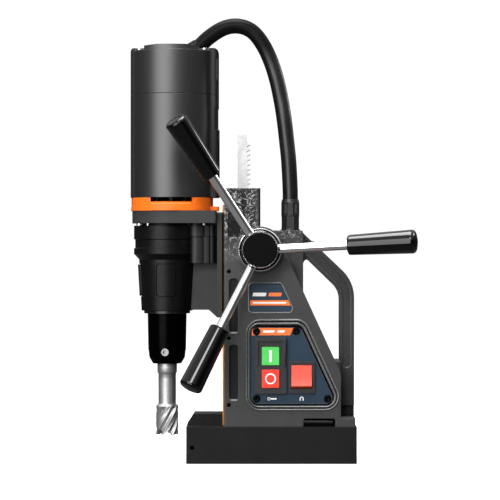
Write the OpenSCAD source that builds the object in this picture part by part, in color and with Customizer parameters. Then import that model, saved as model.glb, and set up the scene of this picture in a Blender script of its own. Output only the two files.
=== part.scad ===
// Magnetic drill press: an electromagnet base, a cast column with a dovetail slide, a rack feed worked by
// three capstan arms, and a two-stage geared motor unit that turns an arbor with an annular cutter.
// Origin: centre of the magnet's underside. +Z is up, the arbor is on the -X side, the controls face -Y.

/* [Magnet] */
// Length of the magnet block, front to back
magnet_length = 162; // [160:1:170]
// Width of the magnet block
magnet_width = 80; // [80:1:84]
// Depth of the winding groove in the underside
groove_depth = 24; // [22:0.5:25]

/* [Column] */
// Height of the top of the column
column_top = 261.5; // [256:0.5:266]
// Height of the top of the box behind the column, where the conduit leaves
rear_box_top = 221.5; // [219:0.5:224]
// Depth of the recessed pockets in the column's side
pocket_depth = 3; // [2:0.5:4]

/* [Feed] */
// Height of the top of the rack with the motor unit in its resting place
rack_top = 313.7; // [300:0.1:320]
// Lean of the capstan arms away from the column, in degrees
arm_lean = 16; // [12:1:18]
// Radius of a capstan arm's rod
arm_r = 4.5; // [4:0.1:4.8]
// Turn of the capstan at rest, in degrees from straight back
arm_phase = 3.1; // [0:0.1:6]

/* [Motor] */
// Radius of the motor's barrel
motor_r = 39.3; // [39:0.1:39.5]
// Height of the seam between the motor's housing and its cap
motor_seam = 352; // [350:0.5:354]
// Height of the top of the motor's cap
motor_top = 398.6; // [397:0.1:400]

/* [Cutter] */
// Radius of the cutter's shank
shank_r = 9.5; // [9.4:0.01:9.525]
// Radius over the cutter's teeth
cutter_r = 10.8; // [10:0.1:11.5]
// Height of the cutter's teeth above the surface
cutter_tip = 24.8; // [22:0.1:28]

/* [Hidden] */
$fn = 64;

// Magnet and casting
magnet_height = 35;
tier_top = 46;
tier_front = -74;
tier_half_w = 18.8;
body_half_w = 39;
core_half_w = 28;
column_front = -45;
column_back = -10.5;
side_foot = 65.8;
side_knee_z = 86;
side_slope = 0.461;
strap_slot = [30, 60.7];
strap_slot_top = 43;
strap_throat_top = 39.4;
base_bolt_places = [[4, -25], [4, 25], [22.5, -25], [22.5, 25]];
cavity_floor = 51;
cover_inner_y = 36.5;

// Dovetail, rack and pinion
dovetail_half_w = 20;
dovetail_slope = 7 / 12;
dovetail_floor = -32;
slide_bottom = 138.5;
slide_top = 239;
gib_thick = 2.9;
running_gap = 0.12;
rack_module = 1.5;
pinion_teeth = 14;
gear_angle = 25;
pinion_r = rack_module * pinion_teeth / 2;
pinion_x = -11;
pinion_z = 203;
pitch_x = pinion_x - pinion_r;
rack_back = -32.4;
rack_bottom = 139.5;
rack_half_w = 7.5;
rack_pitch = PI * rack_module;
gib_screw_x = -40.3;
gib_screw_z = [55.7, 119, 182.3];

// Gear train: motor pinion to idler gear, idler pinion to spindle gear
spindle_x = -100.35;
small_teeth = 9;
idler_teeth = 25;
spindle_teeth = 35;
train_module = 1;
idler_x = spindle_x + train_module * (small_teeth + spindle_teeth) / 2;
motor_x = idler_x - train_module * (small_teeth + idler_teeth) / 2;
stub_tip = 0.8;
stub_root = 1.05;
tooth_thinning = 0.09;
flank_steps = 3;
// Offsets of the motor's screws from its axis; the two behind stay clear of the conduit
motor_screw_places = [[-31, -12], [31, -12], [-20, 27], [20, 27]];
gearbox_screw_places = [[-118, -16], [-118, 16], [-72, -17], [-72, 17]];

// Heights along the drive
nose_bottom = 144.5;
nose_top = 190.3;
gearbox_top = 226.2;
flange_bottom = 228.4;
flange_top = 240.3;
ring_top = 252.9;
shoulder_z = 396.5;
screw_seat = 394.1;
lower_stage = [198, 208];
upper_stage = [214, 222];

// Capstan
arm_cross_y = -60;
arm_cross_r = 18.8;
grip_r = [82.5, 145.5];
arm_turns = [0, 120, 240];

// Controls
panel_y = -body_half_w;
panel_back = -37.8;
switch_front = -42;
button_front = -43.6;
button_size = [16.5, 17.3];
start_corner = [-9.2, 93.7];
stop_corner = [-9.2, 72.3];
rocker_axis = [-37.6, 82.65];
rocker_x = [18.9, 38];
rocker_r = 11.15;
mains_at = [52, 66];
panel_screw_places = [[-14.2, 125.6], [23.3, 126], [-14.2, 61.8], [53.1, 61.8]];

// Conduit from the gland to the motor's cap: x, y, z of points along its centre
hose_r = 7.4;
hose_sides = 12;
hose_route = [
    [18.5, 0, 251.6], [18.3, 0, 263], [17, 0, 288], [15, 1, 308], [12.6, 2, 329], [9.4, 4, 349],
    [5, 5, 369], [-0.7, 6, 386.5], [-7.8, 7, 401.4], [-16.5, 8, 412.9], [-26, 8.5, 418.5],
    [-37, 9, 419.8], [-48.1, 9.5, 416.7], [-59.9, 10, 409.1], [-69, 10, 400.7]
];
hose_end_lean = 47;

// ---------------------------------------------------------------- shared shapes

module block(low, high) {
    translate(low) cube(high - low);
}

module post(x, y, z0, z1, r) {
    translate([x, y, z0]) cylinder(h = z1 - z0, r = r);
}

module pin_y(x, z, y0, y1, r) {
    translate([x, y0, z]) rotate([-90, 0, 0]) cylinder(h = y1 - y0, r = r);
}

module pin_x(y, z, x0, x1, r) {
    translate([x0, y, z]) rotate([0, 90, 0]) cylinder(h = x1 - x0, r = r);
}

// An outline drawn in x and z, extruded along y
module plate_xz(points, y0, y1) {
    translate([0, y1, 0]) rotate([90, 0, 0]) linear_extrude(y1 - y0) polygon(points);
}

// An outline drawn in x and y, extruded along z
module plate_xy(points, z0, z1) {
    translate([0, 0, z0]) linear_extrude(z1 - z0) polygon(points);
}

// An outline drawn in y and z, extruded along x
module plate_yz(points, x0, x1) {
    translate([x0, 0, 0]) rotate([90, 0, 90]) linear_extrude(x1 - x0) polygon(points);
}

// A turned solid round a vertical axis, from [radius, z] points
module turned(x, y, profile) {
    translate([x, y, 0]) rotate_extrude() polygon(profile);
}

module ring(x, y, z0, z1, outer, inner) {
    turned(x, y, [[inner, z0], [outer, z0], [outer, z1], [inner, z1]]);
}

function unit(v) = v / norm(v);

function corner(before, at, after, r, steps) =
    r <= 0 ? [at] :
    let (
        a = unit(before - at),
        b = unit(after - at),
        half = acos(a * b) / 2,
        centre = at + unit(a + b) * r / sin(half),
        first = at + a * r / tan(half) - centre,
        last = at + b * r / tan(half) - centre,
        from = atan2(first[1], first[0]),
        turn = (atan2(last[1], last[0]) - from + 540) % 360 - 180
    )
    [for (i = [0:steps]) centre + r * [cos(from + turn * i / steps), sin(from + turn * i / steps)]];

// The points of an outline with its corners rounded to r, or to each radius of a list
function rounded(points, r, steps = 5) = [
    for (i = [0:len(points) - 1])
        each corner(
            points[(i + len(points) - 1) % len(points)], points[i], points[(i + 1) % len(points)],
            is_list(r) ? r[i] : r, steps
        )
];

function box_points(x0, x1, z0, z1) = [[x0, z0], [x1, z0], [x1, z1], [x0, z1]];

// Angle between the involute and the line to its start, in degrees
function involute_angle(a) = tan(a) * 180 / PI - a;

// Half the angle that a tooth fills at radius rho
function half_tooth(teeth, m, rho) =
    let (pitch = m * teeth / 2, base = pitch * cos(gear_angle))
    90 / teeth - tooth_thinning / (2 * pitch) * 180 / PI
        + involute_angle(gear_angle) - involute_angle(acos(min(1, base / rho)));

function gear_points(teeth, m, tip, root) =
    let (
        pitch = m * teeth / 2,
        low = pitch - root * m,
        high = pitch + tip * m,
        start = max(low, pitch * cos(gear_angle)),
        radii = concat([low], [for (i = [0:flank_steps]) start + (high - start) * i / flank_steps])
    )
    [
        for (k = [0:teeth - 1], side = [-1, 1], i = [0:len(radii) - 1])
            let (
                j = side < 0 ? i : len(radii) - 1 - i,
                a = k * 360 / teeth + side * half_tooth(teeth, m, max(start, radii[j]))
            )
            radii[j] * [cos(a), sin(a)]
    ];

module gear(x, z0, z1, teeth) {
    translate([x, 0, z0]) linear_extrude(z1 - z0)
        polygon(gear_points(teeth, train_module, stub_tip, stub_root));
}

// A socket-head cap screw pointing along -z, with the underside of its head at the origin
module cap_screw(shank, length, head, head_h) {
    difference() {
        union() {
            translate([0, 0, -length]) cylinder(h = length, r = shank);
            cylinder(h = head_h, r = head);
        }
        translate([0, 0, head_h * 0.4]) cylinder(h = head_h, r = shank * 0.85, $fn = 6);
    }
}

// ---------------------------------------------------------------- magnet base

module racetrack(x, y, r, z0, z1) {
    plate_xy(rounded([[-x, -y], [x, -y], [x, y], [-x, y]], r), z0, z1);
}

module magnet_housing() color("#242526") difference() {
    x = magnet_length / 2;
    union() {
        racetrack(x, magnet_width / 2, 1.5, 0, magnet_height);
        plate_xz([[-x, magnet_height - 1], [-x, magnet_height], [tier_front, tier_top], [64, tier_top],
            [64, magnet_height - 1]], -tier_half_w, tier_half_w);
    }
    difference() {
        racetrack(69, 31, 12, -1, groove_depth);
        racetrack(54, 16, 5, -2, groove_depth + 1);
    }
    block([strap_slot[0], -50, magnet_height], [strap_slot[1], 50, strap_throat_top]);
    for (p = base_bolt_places) post(p[0], p[1], 27.5, 60, 4.05);
    for (side = [-1, 1]) {
        pin_y(-75.3, 15.2, side > 0 ? 28 : -50, side > 0 ? 50 : -28, 2.1);
    }
}

module magnet_coil() color("#a8622c") difference() {
    racetrack(68.5, 30.5, 11.5, 9, groove_depth - 0.4);
    racetrack(54.5, 16.5, 5.5, 0, 40);
}

module magnet_potting() color("#6e1f16") difference() {
    racetrack(69, 31, 12, 0.3, 8.8);
    racetrack(54, 16, 5, -1, 20);
}

module base_bolts() color("#3a3b3d") {
    for (p = base_bolt_places) translate([p[0], p[1], cavity_floor]) cap_screw(4, 23, 6.5, 8);
}

// ---------------------------------------------------------------- column casting

// x of the side's sloping rear edge at height z
function flank_x(z) = side_foot + (side_knee_z - z) * side_slope;

// The side's outline, moved in by that much
function side_outline(inset) = [
    [-10 + inset, 46 + inset], [side_foot - inset, 46 + inset], [side_foot - inset, side_knee_z],
    [flank_x(154 - inset) - 1.1 * inset, 154 - inset], [-10 + inset, 154 - inset]
];

cover_screw_places = [for (i = [0, 1, 3, 4]) side_outline(4.9)[i]];

function dovetail_y(x) = dovetail_half_w + (x - column_front) * dovetail_slope;

// The dovetail slot's outline: plain on the +Y side, wider by the gib on the -Y side
dovetail_slot = [
    [column_front - 2, dovetail_y(column_front - 2)], [-33, dovetail_y(-33)], [dovetail_floor, dovetail_y(-33)],
    [dovetail_floor, -dovetail_y(-33) - 3], [-33, -dovetail_y(-33) - 3],
    [column_front - 2, -dovetail_y(column_front - 2) - 3]
];

panel_outline = [[-19.4, 57.1], [60.6, 57.1], [27.2, 129.6], [-19.4, 129.6]];

// The panel's outline grown outwards by that much
function panel_grown(d) = [
    [-19.4 - 0.6 * d, 57.1 - 0.85 * d], [60.6 + 1.5 * d, 57.1 - 0.85 * d],
    [27.2 + 0.63 * d, 129.6 + d], [-19.4 - 0.6 * d, 129.6 + d]
];

function badge_points(d) = [[-20.4 - d, 144.5 - d], [20.6 + 1.5 * d, 144.5 - d], [8.7 + 0.6 * d, 170.4 + d],
    [-20.4 - d, 170.4 + d]];

module bead(d, width) difference() {
    plate_xz(rounded(panel_grown(d), 6 + d), panel_y - 0.9, panel_y + 0.1);
    plate_xz(rounded(panel_grown(d - width), 6 + d - width), panel_y - 2, panel_y + 1);
}

module column_pocket(z0, z1) {
    plate_xz(rounded(box_points(-40.2, -31.6, z0, z1), 3), -body_half_w - 1, -body_half_w + pocket_depth);
    plate_xz(rounded(box_points(-40.2, -31.6, z0, z1), 3), body_half_w - pocket_depth, body_half_w + 1);
}

module body_casting() color("#4b4c4e") difference() {
    union() {
        plate_xy(rounded([[column_front, -body_half_w], [column_back, -body_half_w], [column_back, body_half_w],
            [column_front, body_half_w]], [1, 3.5, 3.5, 1]), magnet_height, column_top);
        plate_xz([[-14, magnet_height], [side_foot, magnet_height], [side_foot, side_knee_z],
            [flank_x(199.3), 199.3], [0, 214], [-14, 219]], -body_half_w, body_half_w);
        block([side_foot - 1, -body_half_w, magnet_height], [79.5, body_half_w, 43.4]);
        plate_xz(rounded([[-12, 150], [30.3, 150], [30.3, rear_box_top], [-12, rear_box_top]], [0, 0, 2, 0]),
            -core_half_w, core_half_w);
        plate_xz([[50, 60], [side_foot, 60], [side_foot, 96.8], [60, 96.8]], -core_half_w, core_half_w);
        pin_y(pinion_x, pinion_z, -44.6, -30, 22.1);
        bead(7.6, 1.7);
        bead(4.4, 1.9);
    }
    // Seat over the magnet's upper tier, the strap slot and the dovetail
    block([-50, -tier_half_w - 0.3, 30], [64.2, tier_half_w + 0.3, tier_top + 0.1]);
    plate_xz(rounded(box_points(strap_slot[0], strap_slot[1], 30, strap_slot_top), [0, 0, 2.5, 2.5]), -60, 60);
    plate_xy(dovetail_slot, 30, column_top + 5);
    // Rack channel and the pinion's bores
    block([dovetail_floor - 1, -rack_half_w - 0.5, tier_top], [-18.6, rack_half_w + 0.5, column_top + 5]);
    pin_y(pinion_x, pinion_z, -8.3, 8.3, 12.6);
    pin_y(pinion_x, pinion_z, -60, -8.2, 13);
    pin_y(pinion_x, pinion_z, 8.2, 24.2, 10.5);
    pin_y(pinion_x, pinion_z, 24.1, 60, 12.5);
    // Cavity for the controls, closed on the +Y side by the cover
    plate_xz(rounded(side_outline(5), 9), -33, 60);
    plate_xz(rounded(side_outline(2), 5), cover_inner_y - 0.1, 60);
    for (p = cover_screw_places) pin_y(p[0], p[1], 27, 60, 1.5);
    for (p = base_bolt_places) {
        post(p[0], p[1], 30, 60, 4.2);
        post(p[0], p[1], cavity_floor - 0.01, 62, 6.8);
    }
    // Wiring bore up to the conduit's gland
    post(18.5, 0, 140, 212, 6);
    post(18.5, 0, 211, 240, 7.5);
    // Recesses on the control side
    plate_xz(rounded(panel_grown(0.2), 6), -60, panel_back);
    plate_xz(rounded(box_points(-12.5, 11, 69, 117), 0.6), -60, -34);
    block([-5, -60, 69.6], [11.2, -30, 116.6]);
    block([17.2, -60, 67.7], [40.2, -30, 96.2]);
    for (p = panel_screw_places) pin_y(p[0], p[1], -60, -33.4, 2);
    plate_xz(rounded(badge_points(0.2), 3), -60, -37.8);
    // Groove and pockets on the column's sides
    for (side = [0, 1]) mirror([0, side, 0]) {
        plate_xz(rounded(box_points(-28.5, -23.5, 227, 300), 1.5), -60, -33);
        plate_xz(rounded(box_points(-41.6, -29.6, 215, 239), 2), -60, -body_half_w + 2);
    }
    column_pocket(124.6, 175.8);
    column_pocket(60.8, 112.8);
    for (z = gib_screw_z) pin_y(gib_screw_x, z, -60, -24, 2.1);
    // Threaded holes for the handle
    for (y = [-8, 8]) pin_x(y, 207, 22, 40, 2.55);
    for (z = [68, 86]) pin_x(0, z, 61, 70, 2.55);
}

module side_cover() color("#3f4042") difference() {
    plate_xz(rounded(side_outline(2.25), 4.8), cover_inner_y, body_half_w);
    for (p = cover_screw_places) pin_y(p[0], p[1], 0, 60, 1.7);
    pin_y(mains_at[0], mains_at[1], 0, 60, 8.1);
}

module cover_screws() color("#8d9093") {
    for (p = cover_screw_places)
        translate([p[0], body_half_w, p[1]]) rotate([-90, 0, 0]) cap_screw(1.45, 10, 2.7, 1.8);
}

module gib_strip() color("#9a6a3a") {
    x0 = column_front - 1.6;
    x1 = -33.3;
    plate_xy([
        [x0, -dovetail_y(x0) - 0.02], [x1, -dovetail_y(x1) - 0.02],
        [x1, -dovetail_y(x1) - gib_thick], [x0, -dovetail_y(x0) - gib_thick]
    ], magnet_height + 0.3, 246);
}

module gib_screws() color("#2a2b2d") {
    for (z = gib_screw_z)
        translate([gib_screw_x, -37.8, z]) rotate([90, 0, 0]) difference() {
            translate([0, 0, -10.3]) cylinder(h = 10.3, r = 2);
            translate([0, 0, -2.5]) cylinder(h = 5, r = 1.15, $fn = 6);
        }
}

// ---------------------------------------------------------------- controls

module control_panel() color("#2c4257") difference() {
    plate_xz(rounded(panel_outline, 6), panel_y, panel_back);
    block([-12.7, -60, 68.8], [11.2, 0, 117.2]);
    block([17, -60, 67.5], [40.4, 0, 96.4]);
    for (p = panel_screw_places) pin_y(p[0], p[1], -60, 0, 2.1);
}

module panel_screws() color("#141414") {
    for (p = panel_screw_places)
        translate([p[0], panel_y, p[1]]) rotate([90, 0, 0]) difference() {
            union() {
                translate([0, 0, -5.4]) cylinder(h = 5.4, r = 1.9);
                cylinder(h = 1.6, r1 = 3.8, r2 = 3);
            }
            translate([0, 0, 0.6]) cylinder(h = 3, r = 1.5, $fn = 6);
        }
}

module badge_plate() color("#2c4257") {
    plate_xz(rounded(badge_points(0), 3), -38.9, -37.85);
}

module button_pocket(at) {
    translate([at[0] - 0.2, -60, at[1] - 0.2]) cube([button_size[0] + 0.4, 24.4, button_size[1] + 0.4]);
}

module switch_housing() color("#1b1b1c") difference() {
    union() {
        plate_xz(rounded(box_points(-16, 14.4, 66.6, 119.8), 1), switch_front, panel_y);
        block([-12.3, panel_y - 0.5, 69.3], [10.8, -34.2, 116.8]);
        block([-4.8, -35, 69.8], [11, -21, 116.4]);
        difference() {
            plate_xz(rounded(box_points(-15.2, 13.6, 93, 119), 1), switch_front - 2.6, switch_front + 1);
            block([-12.6, -60, 90], [11, 0, 116.4]);
        }
    }
    button_pocket(start_corner);
    button_pocket(stop_corner);
    for (x = [[-16.5, -14.6], [13, 15]]) block([x[0], -60, 91], [x[1], -41, 104]);
    for (z = [[76.6, 85], [98, 106.4]]) block([-3.6, -37, z[0]], [1.7, -26, z[1]]);
}

module button(at) {
    depth = 38.4;
    plate_xz(rounded(box_points(at[0], at[0] + button_size[0], at[1], at[1] + button_size[1]), 0.8),
        button_front, -depth - 0.3);
    block([at[0] + 6, -depth - 1, at[1] + 4.7], [at[0] + 10.4, -29.5, at[1] + 12.3]);
}

module start_button() color("#3fbf4f") {
    button(start_corner);
}

module stop_button() color("#e83528") {
    button(stop_corner);
}

module rocker_bezel() color("#1b1b1c") difference() {
    union() {
        plate_xz(rounded(box_points(16.5, 41.2, 66.8, 97.3), 1.2), -41, panel_y);
        block([17.5, panel_y - 0.5, 68], [39.9, -20, 95.9]);
    }
    block([rocker_x[0] - 0.2, -60, rocker_axis[1] - rocker_r - 0.25],
        [rocker_x[1] + 0.2, -25, rocker_axis[1] + rocker_r + 0.25]);
    pin_x(rocker_axis[0], rocker_axis[1], rocker_x[0] - 0.9, rocker_x[1] + 0.9, 1.3);
}

// Rests with its lower half tipped out; the other half tips out after a turn of twice the tilt
module magnet_rocker() color("#ee5548") {
    tilt = 8;
    y = rocker_axis[0];
    z = rocker_axis[1];
    rise = rocker_r * tan(tilt);
    intersection() {
        translate([0, y, z]) rotate([-tilt, 0, 0])
            plate_yz([[4, -14], [-4.2, -14], [-4.2 - rise, -rocker_r], [-4.2, 0], [-4.2 - rise, rocker_r],
                [-4.2, 14], [4, 14]], rocker_x[0], rocker_x[1]);
        pin_x(y, z, rocker_x[0], rocker_x[1], rocker_r);
    }
    pin_x(y, z, rocker_x[0] - 0.7, rocker_x[1] + 0.7, 1.2);
}

module control_board() color("#1f5a34") {
    block([2, 22, 62], [46, 23.6, 112]);
    for (x = [6, 42], z = [66, 108]) pin_y(x, z, 23.5, cover_inner_y, 2.5);
    block([6, 10, 90], [18, 22.1, 106]);
    block([24, 6, 88], [38, 22.1, 98]);
    for (x = [10, 20, 30]) pin_y(x, 74, 8, 22.1, 4);
    block([36, 12, 68], [43, 22.1, 82]);
}

// ---------------------------------------------------------------- feed bearings, glands and handle

module pinion_bushings() color("#b08d4a") {
    difference() {
        pin_y(pinion_x, pinion_z, -38, -8.6, 12.97);
        pin_y(pinion_x, pinion_z, -50, 0, 9.05);
    }
    difference() {
        pin_y(pinion_x, pinion_z, 8.6, 24, 10.47);
        pin_y(pinion_x, pinion_z, 0, 50, 6.55);
    }
}

module shaft_end_cap() color("#1e1e1f") difference() {
    pin_y(pinion_x, pinion_z, 33, body_half_w + 0.8, 12.45);
    pin_y(pinion_x, pinion_z, 30, 36, 10);
}

module gland_body() color("#161616") difference() {
    union() {
        post(18.5, 0, 212.5, rear_box_top, 7.45);
        post(18.5, 0, rear_box_top, rear_box_top + 1.4, 9.4);
        translate([18.5, 0, rear_box_top + 1]) rotate([0, 0, 22.5]) cylinder(h = 12.4, r = 9.1, $fn = 8);
    }
    post(18.5, 0, 200, 260, 6);
}

module gland_nut() color("#1a1a1a") difference() {
    union() {
        translate([18.5, 0, rear_box_top + 13.5]) rotate([0, 0, 15]) cylinder(h = 14, r = 9, $fn = 12);
        turned(18.5, 0, [[0, 248], [8.6, 248], [8.2, 251.5], [0, 251.5]]);
        for (side = [0, 1]) mirror([0, side, 0]) pin_y(18.5, 237.2, -9.3, -8, 1.3);
    }
    post(18.5, 0, 200, 260, 6);
    for (side = [0, 1], x = [13, 22.1]) mirror([0, side, 0]) block([x, -10, 238.4], [x + 2.4, -6.4, 247.2]);
}

module mains_gland() color("#161616") difference() {
    union() {
        pin_y(mains_at[0], mains_at[1], 30, 39.2, 4.9);
        pin_y(mains_at[0], mains_at[1], 36.6, 39.1, 8);
        translate([mains_at[0], 39, mains_at[1]]) rotate([-90, 0, 0]) cylinder(h = 5, r = 9.5, $fn = 6);
        translate([mains_at[0], 43.9, mains_at[1]]) rotate([-90, 0, 0]) cylinder(h = 6, r1 = 8.4, r2 = 6.2);
    }
    pin_y(mains_at[0], mains_at[1], 20, 60, 3.3);
}

module carry_handle() color("#474849") difference() {
    union() {
        plate_xz(rounded([[30.4, 219.3], [79.5, 172.5], [79.5, 54], [65.6, 54], [65.6, 163.7], [30.4, 198]],
            [0, 36, 0, 0, 20, 0], 8), -14, 14);
        plate_xz([[30.4, 199], [30.4, 188], [30.9, 190.9], [32.2, 192.9], [34, 193.6], [35.6, 192.9], [38, 194]],
            -14, 14);
        block([66, -9, 43.6], [79.5, 9, 55]);
    }
    block([63, -15, 50], [65.95, 15, 97.2]);
    // Long finger grooves on both sides
    for (side = [0, 1]) mirror([0, side, 0])
        plate_xz(rounded([[33, 212.4], [76.3, 171.2], [76.3, 90], [68.6, 90], [68.6, 164.9], [33, 199.6]],
            [0, 33, 3.8, 3.8, 22, 0], 8), -20, -12.8);
    for (y = [-8, 8]) {
        pin_x(y, 207, 30, 60, 2.7);
        pin_x(y, 207, 36, 60, 4.7);
    }
    for (z = [68, 86]) {
        pin_x(0, z, 60, 90, 2.7);
        pin_x(0, z, 74.5, 90, 4.7);
    }
}

module handle_screws() color("#2a2b2d") {
    for (y = [-8, 8]) translate([36, y, 207]) rotate([0, 90, 0]) cap_screw(2.5, 13, 4.4, 5);
    for (z = [68, 86]) translate([74.5, 0, z]) rotate([0, 90, 0]) cap_screw(2.5, 13, 4.4, 4.6);
}

// ---------------------------------------------------------------- conduit

function tangent(route, i) =
    unit(route[min(i + 1, len(route) - 1)] - route[max(i - 1, 0)]);

function conduit_tangent(i) =
    i == 0 ? [0, 0, 1] :
    i == len(hose_route) - 1 ? [-sin(hose_end_lean), 0, -cos(hose_end_lean)] : tangent(hose_route, i);

// One ring of the tube: its plane holds the y axis, as nearly as the bend allows
function tube_ring(at, along, r, sides) =
    let (side = unit(cross(along, [0, 1, 0])), over = cross(side, along))
    [for (k = [0:sides - 1]) at + r * (cos(360 * k / sides) * side + sin(360 * k / sides) * over)];

module conduit_hose() color("#151515") {
    n = len(hose_route);
    s = hose_sides;
    polyhedron(
        points = [for (i = [0:n - 1]) each tube_ring(hose_route[i], conduit_tangent(i), hose_r, s)],
        faces = concat(
            [[for (k = [0:s - 1]) k]],
            [for (i = [0:n - 2], k = [0:s - 1])
                [i * s + (k + 1) % s, i * s + k, (i + 1) * s + k, (i + 1) * s + (k + 1) % s]],
            [[for (k = [s - 1:-1:0]) (n - 1) * s + k]]
        )
    );
}

// ---------------------------------------------------------------- carriage

module slide() color("#5d6063") difference() {
    x0 = column_front - 2;
    x1 = -33.3;
    plate_xy([
        [x0, dovetail_y(x0) - running_gap], [x1, dovetail_y(x1) - running_gap],
        [rack_back, dovetail_y(x1) - running_gap], [rack_back, -dovetail_y(x1) + running_gap],
        [x1, -dovetail_y(x1) + running_gap], [x0, -dovetail_y(x0) + running_gap]
    ], slide_bottom, slide_top);
    for (z = [152, 195, 230]) {
        pin_x(0, z, -60, -20, 2.05);
        pin_x(0, z, -60, -43, 3.7);
    }
    for (y = [-14, 14], z = [146, 165, 184]) pin_x(y, z, -60, -36.5, 2.05);
}

// The rack's outline in x and z: its teeth face the pinion, with a gap at the pinion's height
module rack() color("#c9cbcc") {
    tip = pitch_x + 0.95 * rack_module;
    root = pitch_x - 1.25 * rack_module;
    half = rack_pitch / 4 - tooth_thinning;
    slope = tan(gear_angle);
    first = ceil((rack_bottom + 4 - pinion_z) / rack_pitch);
    last = floor((rack_top - 4 - pinion_z) / rack_pitch);
    difference() {
        plate_xz(concat(
            [[rack_back, rack_top], [rack_back, rack_bottom], [root, rack_bottom]],
            [for (k = [first:last - 1])
                let (z = pinion_z + (k + 0.5) * rack_pitch)
                each [
                    [root, z - half - (pitch_x - root) * slope], [tip, z - half + (tip - pitch_x) * slope],
                    [tip, z + half - (tip - pitch_x) * slope], [root, z + half + (pitch_x - root) * slope]
                ]],
            [[root, rack_top]]
        ), -rack_half_w, rack_half_w);
        for (z = [152, 195, 230]) pin_x(0, z, -40, -25.2, 2.05);
    }
}

module slide_screws() color("#3a3b3d") {
    for (z = [152, 195, 230]) translate([-43, 0, z]) rotate([0, -90, 0]) cap_screw(2, 17, 3.5, 3.6);
    for (y = [-14, 14], z = [146, 165, 184])
        translate([-48.5, y, z]) rotate([0, -90, 0]) cap_screw(2, 11.5, 3.5, 2.8);
}

module motor_bracket() color("#4b4c4e") difference() {
    union() {
        plate_xy(concat(
            [for (a = [90:6:270]) [motor_x, 0] + 38.7 * [cos(a), sin(a)]],
            rounded([[motor_x + 5, -38.7], [-52.7, -38.7], [-52.7, 38.7], [motor_x + 5, 38.7]], [0, 1.5, 1.5, 0])
        ), flange_bottom, flange_top);
        block([-60, -29, flange_bottom], [-50, 29, 238.8]);
        plate_yz(rounded(box_points(-30, 30, slide_bottom, 238.8), 1.5), -51.6, column_front - 2);
        plate_xz([[-78, 145.3], [-60, 145.3], [-51.6, 137.6], [-51, nose_top - 0.1], [-78, nose_top - 0.1]], -9.5, 9.5);
    }
    turned(spindle_x, 0, [[0, 130], [25, 130], [25, 145], [27.3, 188.3], [27.3, 200], [0, 200]]);
    post(motor_x, 0, 220, 233.4, 6.2);
    post(motor_x, 0, 233.3, 260, 11);
    post(idler_x, 0, 220, 232.3, 6.5);
    for (d = motor_screw_places) post(motor_x + d[0], d[1], 200, 260, 2.1);
    for (p = gearbox_screw_places) {
        post(p[0], p[1], 200, 260, 2.1);
        post(p[0], p[1], 236.4, 260, 3.7);
    }
    for (y = [-14, 14], z = [146, 165, 184]) {
        pin_x(y, z, -60, -40, 2.05);
        pin_x(y, z, -60, -48.5, 3.7);
    }
}

// ---------------------------------------------------------------- gearbox

module gearbox_lobe(z0, z1, grow) {
    post(idler_x, 0, z0, z1, 16.8 + grow);
    for (y = [-16, 16]) post(-71.6, y, z0, z1, 7.6 + grow);
    for (y = [-17, 17]) post(-56.5, y, z0, z1, 4 + grow / 2);
    block([-71.6, -19 - grow, z0], [-52.6, 19 + grow, z1]);
    block([-60, -12, z0], [-51.75, 12, z1]);
}

module gearbox_housing() color("#1d1e20") difference() {
    union() {
        turned(spindle_x, 0, [
            [0, nose_top], [27, nose_top], [27, 193.6], [32, 199.1], [32, 204.5], [30.8, 204.8], [30.8, 212.7],
            [31.4, 213], [32, 213.2], [32, gearbox_top], [25, gearbox_top], [25, flange_bottom],
            [0, flange_bottom]
        ]);
        gearbox_lobe(nose_top, 214.5, 0);
        gearbox_lobe(216, gearbox_top, 1.3);
        gearbox_lobe(214, 216.5, -0.8);
        post(idler_x, 0, gearbox_top - 1, flange_bottom, 15.1);
        for (y = [-17, 17]) post(-72, y, gearbox_top - 1, flange_bottom, 5.4);
        block([-70, -8, gearbox_top - 1], [-51.75, 8, flange_bottom]);
    }
    post(spindle_x, 0, 189, 196.5, 14);
    post(spindle_x, 0, 196, 240, 19.2);
    post(idler_x, 0, 196.4, 240, 14.1);
    post(motor_x, 0, 212, 240, 6.4);
    post(idler_x, 0, 192.2, 200, 6.5);
    for (p = gearbox_screw_places) post(p[0], p[1], 208, 260, 2.05);
}

module gearbox_screws() color("#8d9093") {
    for (p = gearbox_screw_places) translate([p[0], p[1], 236.4]) cap_screw(2, 27, 3.5, 3.7);
}

module grip_pad(angle) {
    translate([spindle_x, 0, 0]) rotate([0, 0, angle])
        plate_xz(rounded(box_points(-9, 9, 158.8, 188.9), 2), -40, -15);
}

// A shallow groove round a grip pad
module pad_groove(angle) difference() {
    translate([spindle_x, 0, 0]) rotate([0, 0, angle]) difference() {
        plate_xz(rounded(box_points(-9.7, 9.7, 158.1, 189.6), 2.7), -40, -15);
        plate_xz(rounded(box_points(-9, 9, 158.8, 188.9), 2), -41, -14);
    }
    turned(spindle_x, 0, [[0, 140], [23.1, 140], [23.7, 145], [26, 188.3], [26, 195], [0, 195]]);
}

module gearbox_nose() color("#1d1e20") difference() {
    union() {
        turned(spindle_x, 0, [[0, nose_bottom], [24.3, nose_bottom], [24.7, 145], [27, 188.3], [27, nose_top],
            [0, nose_top]]);
        intersection() {
            union() {
                for (a = [0, -90, 180]) grip_pad(a);
            }
            turned(spindle_x, 0, [[0, 158], [26.6, 158], [28.3, 189], [0, 189]]);
        }
    }
    for (a = [0, -90, 180]) pad_groove(a);
    post(spindle_x, 0, 140, 154.2, 21.02);
    post(spindle_x, 0, 150, 180, 15);
    post(spindle_x, 0, 178, 192, 17.52);
}

module nose_ring() color("#101010") {
    ring(spindle_x, 0, 141.9, nose_bottom, 22.2, 13);
}

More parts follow.
